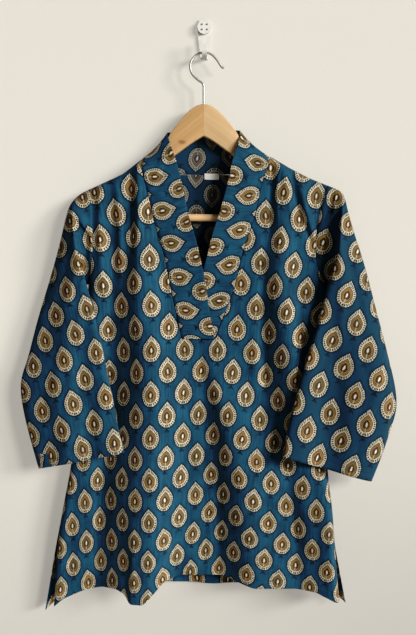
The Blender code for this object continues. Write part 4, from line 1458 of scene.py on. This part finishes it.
def lay_chest(panel, side, foot_row):
    """One side of the front above the placket's foot, between its outer edge and the neck."""
    edge_x, edge_z = neck_edge(side)
    inward = outer_spread(FRONT_SIDE_COLUMNS)
    if side == "right":
        inward = inward[::-1]
    tip_z = SHOULDER_LINE["z"][0 if side == "left" else -1]
    top_x = side_x(FRONT_SIDES, side, tip_z) * (1 - inward) + edge_x[-1] * inward
    bow = shoulder_z(top_x) - (tip_z * (1 - inward) + edge_z[-1] * inward)
    levels = np.concatenate((
        PLACKET_FOOT_Z + (UNDERARM_Z - PLACKET_FOOT_Z) * np.linspace(0, 1, FRONT_CHEST_ROWS + 1)[1:],
        UNDERARM_Z + (tip_z - UNDERARM_Z) * front_armhole_levels()[1:],
    ))
    rows = [foot_row]
    for outer_z in levels:
        up = (outer_z - PLACKET_FOOT_Z) / (tip_z - PLACKET_FOOT_Z)
        inner_z = PLACKET_FOOT_Z + (edge_z[-1] - PLACKET_FOOT_Z) * up
        inner_x = np.interp(inner_z, edge_z, edge_x)
        x = side_x(FRONT_SIDES, side, outer_z) * (1 - inward) + inner_x * inward
        z = outer_z + (inner_z - outer_z) * inward + bow * up ** 2
        rows.append(panel.lay(x, z, front_hem_z(x)))
    panel.cloth.join(rows)


def build_front():
    """The front, cut in one piece, split above the foot of the placket."""
    panel = Panel(front_y, FRONT_SIDES, FRONT_LEAF, 1, FOLD_USE)
    across = front_across()
    hem_left = side_x(FRONT_SIDES, "left", FRONT_HEM["z"][0])
    hem_right = side_x(FRONT_SIDES, "right", FRONT_HEM["z"][-1])
    hem_z = front_hem_z(hem_left + (hem_right - hem_left) * across)
    rows = []
    for up in np.linspace(0, 1, FRONT_LOWER_ROWS + 1) ** HEM_CROWDING:
        z = hem_z + (PLACKET_FOOT_Z - hem_z) * up
        x = panel.between_sides(z, across)
        rows.append(panel.lay(x, z, front_hem_z(x)))
    panel.cloth.join(rows)
    panel.turn_hem(rows[0], hem_z, across)
    lay_chest(panel, "left", [part[:FRONT_SIDE_COLUMNS + 1] for part in rows[-1]])
    lay_chest(panel, "right", [part[-FRONT_SIDE_COLUMNS - 1:] for part in rows[-1]])
    return panel.cloth.piece("printed_front", COTTON, CLOTH_WALL, SHADED_WRONG_SIDE)


def build_back():
    """The back, cut in one piece."""
    panel = Panel(back_y, BACK_SIDES, BACK_LEAF, -1)
    half = outer_spread(BACK_COLUMNS // 2) / 2
    across = np.concatenate((half, 1 - half[-2::-1]))
    hem_left, hem_right = BACK_HEM["x"][[0, -1]]
    hem_z = read(BACK_HEM, "x", "z", hem_left + (hem_right - hem_left) * across, HEM_REACH)
    tip_left, tip_right = BACK_TOP_LINE["x"][[0, -1]]
    top_x = tip_left + (tip_right - tip_left) * across
    in_neck = (top_x > BAND_LEFT["seam_x"][-1]) & (top_x < BAND_RIGHT["seam_x"][-1])
    neck_z = read(BACK_TOP_LINE, "x", "z", top_x, SHOULDER_REACH) - SEAM
    top_z = np.where(in_neck, neck_z, shoulder_z(top_x))
    lower = np.linspace(0, 1, BACK_LOWER_ROWS + 1) ** HEM_CROWDING
    levels = [hem_z + (UNDERARM_Z - hem_z) * up for up in lower]
    levels += [UNDERARM_Z + (top_z - UNDERARM_Z) * up for up in ends_spread(SLEEVE_BACK_STEPS)[1:]]
    rows = [panel.lay(panel.between_sides(z, across), z, hem_z) for z in levels]
    panel.cloth.join(rows, flip=True)
    panel.turn_hem(rows[0], hem_z, across)
    return panel.cloth.piece("printed_back", COTTON, CLOTH_WALL, SHADED_WRONG_SIDE)


# ---------------------------------------------------------------- sleeves
def armhole_ring(side):
    """The sleeve's first ring, one seam gap outside the panels' armhole edges."""
    outward = -1 if side == "left" else 1
    tip = SHOULDER_LINE["z"][0 if side == "left" else -1]
    front_z = UNDERARM_Z + (tip - UNDERARM_Z) * front_armhole_levels()[::-1]
    back_z = UNDERARM_Z + (tip - UNDERARM_Z) * ends_spread(SLEEVE_BACK_STEPS)[1:-1]
    ring = []
    for sides, depth, levels in ((FRONT_SIDES, front_y, front_z), (BACK_SIDES, back_y, back_z)):
        x = side_x(sides, side, levels)
        ring.append(np.stack((x + outward * SEAM, depth(x, levels), levels), axis=-1))
    return np.concatenate(ring)


def sleeve_ring(row, outward):
    """A ring of the sleeve: front from outer edge to fold, then underarm side, then back."""
    outer_x, outer_z, outer_y, fold_x, fold_z, fold_y, under_x, under_z, under_y, front, back = row
    outer = np.array((outer_x, outer_y, outer_z))
    fold = np.array((fold_x, fold_y, fold_z))
    under = np.array((under_x, under_y, under_z))
    forward = np.array((0, -front, 0))
    behind = np.array((outward * BACK_LEAN * back, back, 0))
    ring = []
    for t in ends_spread(SLEEVE_FRONT_STEPS)[:-1]:
        ring.append(outer + (fold - outer) * t + forward * puff(t))
    for t in np.linspace(0, 1, SLEEVE_UNDER_STEPS + 1):
        ring.append(fold + (under - fold) * t)
    for t in ends_spread(SLEEVE_BACK_STEPS)[1:-1]:
        ring.append(under + (outer - under) * t + behind * puff(t) * (1 - BACK_PUFF_EASE * t))
    return np.array(ring)


def crease_share(count):
    """Share of creases round a ring: 1 on the front, -1 on the back, 0 at its outer edge and fold."""
    share = np.zeros(count)
    front = np.linspace(0, 1, SLEEVE_FRONT_STEPS + 1)
    back = np.linspace(0, 1, count - UNDERARM_COLUMN + 1)[1:-1]
    share[:SLEEVE_FRONT_STEPS + 1] = np.sin(math.pi * front) ** CREASE_SETTING
    share[UNDERARM_COLUMN + 1:] = -np.sin(math.pi * back) ** CREASE_SETTING
    return share


def sleeve_rings(side):
    """The rings of a sleeve from the armhole to the cuff, eased, folded and creased."""
    outward = -1 if side == "left" else 1
    data = SLEEVE_LEFT if side == "left" else SLEEVE_RIGHT
    stations = resample(np.array([data[name] for name in SLEEVE_NAMES.split()]).T, SLEEVE_STATIONS)
    armhole = armhole_ring(side)
    rings = np.array([armhole] + [sleeve_ring(row, outward) for row in stations])
    for _ in range(SLEEVE_EASING):
        rings = (np.roll(rings, 1, axis=1) + 2 * rings + np.roll(rings, -1, axis=1)) / 4
        rings[1:-1] = (rings[:-2] + 2 * rings[1:-1] + rings[2:]) / 4
        rings[0] = armhole
    x, z = rings[:, :, 0], rings[:, :, 2]
    height = crease_height(SLEEVE_CREASES[side], x, z) + fold_height(SLEEVE_FOLDS[side], x, z) - ripple(x, z)
    start = smooth(0, CREASES_START, np.arange(len(rings)))[:, None]
    rings[:, :, 1] -= height * crease_share(rings.shape[1]) * start
    return rings


def sleeve_print(side, rings):
    """Distance across a sleeve, and the places in the flat cloth of its front and of its back."""
    outward = -1 if side == "left" else 1
    around, grain, leaf = SLEEVE_LEAF[side]
    place = rings[:, :, (0, 2)] - np.array(leaf)
    across = place @ np.array(around)
    up = place @ np.array(grain)
    # beyond the fold the cloth turns away, so its depth counts as width
    turned = np.diff(across[:, SLEEVE_FRONT_STEPS:], axis=1)
    deeper = np.diff(rings[:, SLEEVE_FRONT_STEPS:, 1], axis=1)
    width = np.cumsum(turned - outward * (np.hypot(turned, deeper) - np.abs(turned)), axis=1)
    front = across.copy()
    front[:, SLEEVE_FRONT_STEPS + 1:] = across[:, SLEEVE_FRONT_STEPS, None] + width
    return across, np.stack((front, up), axis=-1), turned_over(np.stack((across, up), axis=-1))


def turned_over(places):
    """Flat places mirrored over a sleeve's outer edge, so that the print runs on round it."""
    edge = places[:, :1]
    heading = np.gradient(places[:, 0], axis=0)
    for _ in range(EDGE_EASING):
        padded = np.concatenate((heading[:1], heading, heading[-1:]))
        heading = (padded[:-2] + 2 * heading + padded[2:]) / 4
    heading = unit(heading)[:, None]
    away = places - edge
    along = (away * heading).sum(axis=2)[:, :, None] * heading
    return edge + 2 * along - away


def ring_above(rings, up):
    """The ring a given distance above the cuff."""
    step = np.linalg.norm(rings[-1] - rings[-2], axis=1).mean()
    back = min(up / step, len(rings) - 2)
    whole = int(back)
    return rings[-1 - whole] * (1 - back + whole) + rings[-2 - whole] * (back - whole)


def cuff_hem(rings, cloth):
    """Rings of the hem turned up inside a cuff."""
    rows = []
    for up, lift in CUFF_HEM:
        ring = ring_above(rings, up)
        inward = unit(unit(ring.mean(axis=0) - ring) * INWARD_SHARES)
        ring = ring + inward * lift * HEM_LIFT
        rows.append(cloth.row(*ring.T))
    return np.array(rows)


def build_sleeve(side):
    """A three-quarter sleeve, as an open tube from the armhole seam to the cuff."""
    rings = sleeve_rings(side)
    across, front_places, back_places = sleeve_print(side, rings)
    above_cuff = distance_along(rings[::-1], 0)[::-1]
    stitches = np.stack((across, above_cuff), axis=-1)
    cloth = Cloth()
    numbers = np.array([cloth.row(*ring.T) for ring in rings])
    hem_numbers = np.vstack((numbers[-1:], cuff_hem(rings, cloth)))
    hem_use = np.array(CUFF_HEM_USE)[:, None, None] * np.array((0, -1.0))
    flip = side == "left"
    front = np.arange(UNDERARM_COLUMN + 1)
    back = np.append(np.arange(UNDERARM_COLUMN, rings.shape[1]), 0)
    for columns, places in ((front, front_places[:, front]), (back, back_places[:, back])):
        sewn = stitches[:, columns]
        cloth.patch(numbers[:, columns], places, sewn, flip)
        cloth.patch(hem_numbers[:, columns], places[-1:] + hem_use, sewn[-1:] - hem_use, flip)
    # The right sleeve takes the cloth with painted shade.
    return cloth.piece("printed_sleeve_" + side, COTTON if side == "left" else SHADED_COTTON, CLOTH_WALL)


# ---------------------------------------------------------------- collar band and label
def band_rows():
    """Seam and free edge of the collar band at each of its stations, foot to foot."""
    rows = []
    for data, inward in ((BAND_LEFT, 1), (BAND_RIGHT, -1)):
        side = []
        for seam_x, seam_z, free_x, free_z, rise in zip(*data.values()):
            seam_y = float(front_y(seam_x, seam_z))
            free_y = float(front_flat_y(free_x, free_z)) - rise
            side.append((seam_x + inward * SEAM, seam_y, seam_z, free_x, free_y, free_z))
        rows.append(side[::inward])     # the right side runs down again, to its foot
    behind = []
    for seam_x, seam_z, seam_y, free_x, free_z, free_y in zip(*BAND_BEHIND.values()):
        lean = BAND_LEAN if seam_x < 0 else -BAND_LEAN
        behind.append((seam_x + lean, seam_y, seam_z + SEAM, free_x, free_y, free_z))
    return rows[0] + behind + rows[1]


def band_surface():
    """The middle of the folded band's two layers: rows from its seam to its free edge."""
    stations = resample(band_rows(), BAND_STATIONS)
    seam = stations[:, None, :3]
    free = stations[:, None, 3:]
    t = np.linspace(0, 1, BAND_STEPS + 1)[None, :, None]
    surface = seam + (free - seam) * t
    surface[:, :, 2] -= 4 * BAND_SAG * (t * (1 - t))[:, :, 0]
    surface[:, :, 2] = np.maximum(surface[:, :, 2], PLACKET_FOOT_Z + SEAM)
    surface[:, :, 1] -= crease_height(BAND_CREASES, surface[:, :, 0], surface[:, :, 2])
    return surface


def folded_strip(surface):
    """The outer layer, the fold round the free edge and the inner layer, as one strip."""
    along = np.gradient(surface, axis=0)
    across = np.gradient(surface, axis=1)
    out = unit(np.cross(across, along))
    over = unit(across[:, -1])
    fold = []
    for angle in np.linspace(0, math.pi, BAND_FOLD_STEPS + 1)[1:-1]:
        fold.append(surface[:, -1] + BAND_HALF * (over * math.sin(angle) + out[:, -1] * math.cos(angle)))
    inner = (surface - out * BAND_HALF)[:, ::-1]
    return np.concatenate((surface + out * BAND_HALF, np.stack(fold, axis=1), inner), axis=1)


def build_band():
    """The collar band: one strip folded lengthwise round the neck, its left end lapped over its right."""
    strip = folded_strip(band_surface())
    run = distance_along(strip[:, BAND_STEPS // 2], 0)
    width = distance_along(strip, 1)
    used = read(BAND_PRINT, "run", "place", run, BAND_REACH)
    places = np.stack((np.broadcast_to(-used[:, None], width.shape), width - BAND_LEAF), axis=-1)
    from_edge = np.minimum(width, width[:, -1:] - width) + BAND_STITCH_SHIFT
    stitches = np.stack((np.broadcast_to(run[:, None], width.shape), from_edge), axis=-1)
    cloth = Cloth()
    numbers = [cloth.row(*row.T) for row in strip]
    cloth.patch(numbers, places, stitches, flip=True)
    band = cloth.piece("printed_collar_band", COTTON, BAND_WALL)
    band.data.materials.append(SHADED_WRONG_SIDE)
    steps = np.arange(width.shape[1] - 1)
    inside = np.tile(steps > BAND_STEPS + BAND_FOLD_STEPS // 2, len(strip) - 1)
    band.data.polygons.foreach_set("material_index", inside.astype(np.int32))
    return band


def build_label():
    """The blank neck label: a strip of white tape, sewn in under the back neck seam."""
    cloth = Cloth()
    x = np.linspace(LABEL_LEFT, LABEL_RIGHT, LABEL_COLUMNS + 1)
    rows = []
    for down in np.linspace(LABEL_DROP, 0, LABEL_ROWS + 1):
        share = down / LABEL_DROP
        z = np.full(x.shape, LABEL_TOP_Z - down) - LABEL_SAG * np.sin(x / 9)
        lift = LABEL_LIFT + LABEL_BELLY * np.sin(math.pi * share) + LABEL_CURL * share * np.cos(x / 5)
        place = np.stack((x, z), axis=-1)
        rows.append((cloth.row(x, back_y(x, z) - lift, z), place, place))
    cloth.join(rows)
    return cloth.piece("blank_neck_label", TAPE, LABEL_WALL)


# ---------------------------------------------------------------- the hanger's arms
def start_piece(add, **place):
    """Adds a primitive with nothing else selected, puts its place in its mesh and opens it for shaping."""
    bpy.ops.object.select_all(action="DESELECT")
    add(**place)
    bpy.ops.object.transform_apply(location=True, rotation=True, scale=True)
    bpy.ops.object.mode_set(mode="EDIT")
    return bpy.context.object


def pick(kind, wanted):
    """Selects the points or edges whose ends pass a test, given in millimetres, and only those."""
    bpy.ops.mesh.select_mode(type=kind)
    bpy.ops.mesh.select_all(action="DESELECT")
    shape = bmesh.from_edit_mesh(bpy.context.object.data)
    for part in shape.verts if kind == "VERT" else shape.edges:
        points = [part.co] if kind == "VERT" else [end.co for end in part.verts]
        if wanted([point / MM for point in points]):
            part.select = True
    shape.select_flush_mode()
    bmesh.update_edit_mesh(bpy.context.object.data)


def near(point, place):
    """Whether a point lies at an x and z, seen from the front."""
    return math.hypot(point.x - place[0], point.z - place[1]) < SAME_PLACE


def upright(step):
    """A step in x and z as a move in metres."""
    return step[0] * MM, 0, step[1] * MM


def finish_piece(piece, name, material, node):
    """Closes a shaped piece, names it and hands it over."""
    bpy.ops.object.mode_set(mode="OBJECT")
    bpy.ops.object.shade_smooth_by_angle(angle=math.radians(SMOOTH_BELOW))
    piece.name = name
    piece.data.name = name
    piece.data.materials.clear()
    piece.data.materials.append(material)
    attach(piece, "root")
    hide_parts(node)
    return piece


def build_arm(side, material):
    """One arm: a board drawn out from the centre joint, station by station, and rounded along its edges."""
    outward = -1 if side == "left" else 1
    joint_x = HANGER_X + outward * ARM_JOINT
    stations = [
        (np.array((joint_x + outward * top, top_z)), np.array((joint_x + outward * foot, foot_z)))
        for top, top_z, foot, foot_z in zip(*ARM.values())
    ]
    high, low = ARM["top_z"][0], ARM["foot_z"][0]
    piece = start_piece(
        bpy.ops.mesh.primitive_plane_add,
        size=(high - low) * MM,
        location=((joint_x - outward * (high - low) / 2) * MM, WOOD_FRONT * MM, (high + low) / 2 * MM),
        rotation=(math.pi / 2, 0, 0),
    )
    pick("VERT", lambda points: abs(points[0].x - joint_x) > SAME_PLACE)
    bpy.ops.mesh.delete(type="VERT")
    bpy.ops.mesh.select_all(action="SELECT")
    for (top, foot), (next_top, next_foot) in zip(stations, stations[1:]):
        step = next_top - top
        bpy.ops.mesh.extrude_region_move(TRANSFORM_OT_translate={"value": upright(step)})
        pick("VERT", lambda points: near(points[0], foot + step))
        bpy.ops.transform.translate(value=upright(next_foot - foot - step))
        pick("EDGE", lambda points: all(near(point, next_top) or near(point, next_foot) for point in points))
    bpy.ops.mesh.select_all(action="SELECT")
    bpy.ops.mesh.extrude_region_move(TRANSFORM_OT_translate={"value": (0, WOOD_THICK * MM, 0)})
    bpy.ops.mesh.select_all(action="SELECT")
    bpy.ops.mesh.normals_make_consistent(inside=False)

    def on_rim(points):
        """Whether an edge is on the arm's outline. Inner edges join each station's top to its foot."""
        on_face = abs(points[0].y - points[1].y) < SAME_PLACE
        at_joint = all(abs(point.x - joint_x) < SAME_PLACE for point in points)
        at_top = [any(near(point, top) for top, _ in stations) for point in points]
        at_end = all(near(point, stations[-1][0]) or near(point, stations[-1][1]) for point in points)
        return on_face and not at_joint and (at_top[0] == at_top[1] or at_end)

    pick("EDGE", on_rim)
    bpy.ops.mesh.bevel(offset=ARM_ROUND * MM, segments=ARM_ROUND_STEPS, affect="EDGES")
    return finish_piece(piece, "turned_arm_" + side, material, "hanger_arm_" + side)


# ---------------------------------------------------------------- stage, light and camera
# Metres from here on.
ROOM_HALF = 4.0
WALL_HALF = 3.0
WALL_Y = 0.001              # a hair behind the wall hook's plate
FLOOR_Z = -1.5
WALL_GLOW = 0.96            # light from the far side of the room, which only the wall's paint needs
ROOM_LIGHT = 0.09
ROOM_TINT = (1.0, 0.98, 0.95, 1)
# name, azimuth from the viewer's side towards the right, elevation, spread, power, colour
LAMPS = (
    ("window", 60, 14, 14, 3.0, (1.0, 0.985, 0.955)),
    ("second_window", 43, 13, 16, 2.3, (1.0, 0.985, 0.955)),
    ("lamp_behind", 205, 25, 40, 1.0, (1.0, 0.985, 0.97)),
)
SENSOR = 36.0
CAMERA_DISTANCE = 1.4
VIEW_MIDDLE = (0.0059, -0.045, -0.4582)
VIEW_HEIGHT = 1.016         # height that the view takes in at the cloth
WALL_TONES = (0.36, 0.345, 0.307), (0.375, 0.358, 0.324)
WALL_SHADE = (0.09, 0.085, 0.079)
FLOOR_TONES = (0.72, 0.70, 0.66), (0.78, 0.76, 0.72)
# Light that arrives and how much of it is shown. Lighter tones are left as they are.
DARK_TONES = (
    (0.012, 0.0055),
    (0.0245, 0.0120),
    (0.0365, 0.0215),
    (0.05, 0.0365),
    (0.065, 0.0575),
    (0.09, 0.088),
    (0.12, 0.12),
    (0.5, 0.5),
)


def plane(name, corners, material):
    """A flat part of the room."""
    data = bpy.data.meshes.new(name)
    data.from_pydata(corners, [], [(0, 1, 2, 3)])
    data.update()
    data.materials.append(material)
    made = bpy.data.objects.new(name, data)
    bpy.context.scene.collection.objects.link(made)
    return made


def wall_paint():
    """Warm white wall paint, see-through from behind so that the object's back can be looked at."""
    paint = Finish("wall_paint", Emission_Strength=WALL_GLOW)
    place = paint.object_place()
    cloud = paint.noise(place, 1.3, 3.0)
    roller = paint.noise(place, 220.0, 3.0)
    colour = paint.blend(cloud, *WALL_TONES)
    # painted shade: the wall grows darker towards its foot, most of all on the right
    side, _, height = paint.parts(place)
    low = paint.rise(height, -0.40, -1.15) * (0.30 + paint.rise(side, -0.05, 0.35) * 0.10)
    colour = paint.blend(low, colour, WALL_SHADE)
    paint.feed(paint.shader.inputs["Emission Color"], colour)
    material = paint.done(colour, 0.9, paint.bump(roller, 0.0004, 0.25))
    behind = paint.node("ShaderNodeNewGeometry").outputs["Backfacing"]
    clear = paint.node("ShaderNodeBsdfTransparent").outputs[0]
    either = paint.node("ShaderNodeMixShader", _0=behind, _1=paint.shader.outputs[0], _2=clear)
    output = paint.tree.nodes["Material Output"]
    paint.tree.links.new(either.outputs[0], output.inputs["Surface"])
    return material


def floor_paint():
    """Pale matt floor paint."""
    paint = Finish("floor_paint", Roughness=0.8)
    cloud = paint.noise(paint.object_place(), 2.0, 3.0)
    return paint.done(paint.blend(cloud, *FLOOR_TONES))


def build_room():
    """The wall, which takes no part in the light on the garment, and the floor."""
    left, right = -ROOM_HALF, ROOM_HALF
    low, high = -WALL_HALF, WALL_HALF
    corners = [(left, WALL_Y, low), (right, WALL_Y, low), (right, WALL_Y, high), (left, WALL_Y, high)]
    wall = plane("wall", corners, wall_paint())
    wall.visible_diffuse = False
    wall.visible_glossy = False
    wall.visible_shadow = False
    wall.visible_transmission = False
    corners = [(left, left, FLOOR_Z), (right, left, FLOOR_Z), (right, right, FLOOR_Z), (left, right, FLOOR_Z)]
    plane("floor", corners, floor_paint())


def hang_lamps():
    """Daylight from the right, a lamp behind, and a little light from the whole room."""
    for name, azimuth, elevation, spread, power, tint in LAMPS:
        lamp = bpy.data.lights.new(name, "SUN")
        lamp.angle = math.radians(spread)
        lamp.energy = power
        lamp.color = tint
        holder = bpy.data.objects.new(name, lamp)
        bpy.context.scene.collection.objects.link(holder)
        level = math.cos(math.radians(elevation))
        towards = Vector((
            level * math.sin(math.radians(azimuth)),
            -level * math.cos(math.radians(azimuth)),
            math.sin(math.radians(elevation)),
        ))
        holder.rotation_euler = towards.to_track_quat("Z", "Y").to_euler()
    world = bpy.data.worlds.new("room")
    world.use_nodes = True
    background = world.node_tree.nodes["Background"]
    background.inputs["Color"].default_value = ROOM_TINT
    background.inputs["Strength"].default_value = ROOM_LIGHT
    bpy.context.scene.world = world


def set_camera():
    """A level camera straight before the garment."""
    lens = bpy.data.cameras.new("view")
    lens.sensor_fit = "AUTO"
    lens.sensor_width = SENSOR
    lens.lens = SENSOR * CAMERA_DISTANCE / VIEW_HEIGHT
    camera = bpy.data.objects.new("view", lens)
    bpy.context.scene.collection.objects.link(camera)
    camera.location = (VIEW_MIDDLE[0], VIEW_MIDDLE[1] - CAMERA_DISTANCE, VIEW_MIDDLE[2])
    camera.rotation_euler = (math.pi / 2, 0, 0)
    bpy.context.scene.camera = camera


def develop(view):
    """Plain colours, with the darkest tones pressed down as a small camera does."""
    view.view_transform = "Standard"
    view.use_curve_mapping = True
    curve = view.curve_mapping.curves[3]
    for light, shown in DARK_TONES:
        curve.points.new(light, shown)
    view.curve_mapping.update()


# ---------------------------------------------------------------- putting it together
HANGER = ["hanger_arm_left", "hanger_arm_right"]
for piece, node, slot, size, area, rests_on in (
    (build_front(), "front", "cotton_print", (0.55, 0.73), 0.276, HANGER),
    (build_back(), "back", "cotton_print", (0.52, 0.70), 0.29, HANGER),
    (build_sleeve("left"), "sleeve_left", "cotton_print", (0.30, 0.48), 0.108, ["printed_front"]),
    (build_sleeve("right"), "sleeve_right", "cotton_print", (0.33, 0.50), 0.13, ["printed_front"]),
    (build_band(), "collar_band", "cotton_print", (0.86, 0.11), 0.0946, ["printed_front"]),
    (build_label(), "neck_label", "label_tape", (0.024, 0.0105), 0.000252, ["printed_back"]),
):
    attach(piece, "root")
    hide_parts(node)

build_arm("left", lacquered_wood("left_arm_wood_painted_shade", *LEFT_WOOD_SHADED_TONES, LEFT_GRAIN_SLOPE, KNOT))
build_arm("right", lacquered_wood("right_arm_wood_painted_light", *RIGHT_WOOD_LIT_TONES, RIGHT_GRAIN_SLOPE))

FINISHES = {
    "trouser_bar": lacquered_wood("bar_wood", *BAR_WOOD_TONES),
    "hanger_hook": plated_wire(),
    "wall_hook": hook_plastic(),
}
PINS = pin_heads()
for number in range(1, 5):
    FINISHES[f"hook_pin_{number}"] = PINS
for name, material in FINISHES.items():
    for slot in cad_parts[name].material_slots:
        slot.material = material

build_room()
hang_lamps()
set_camera()
develop(bpy.context.scene.view_settings)
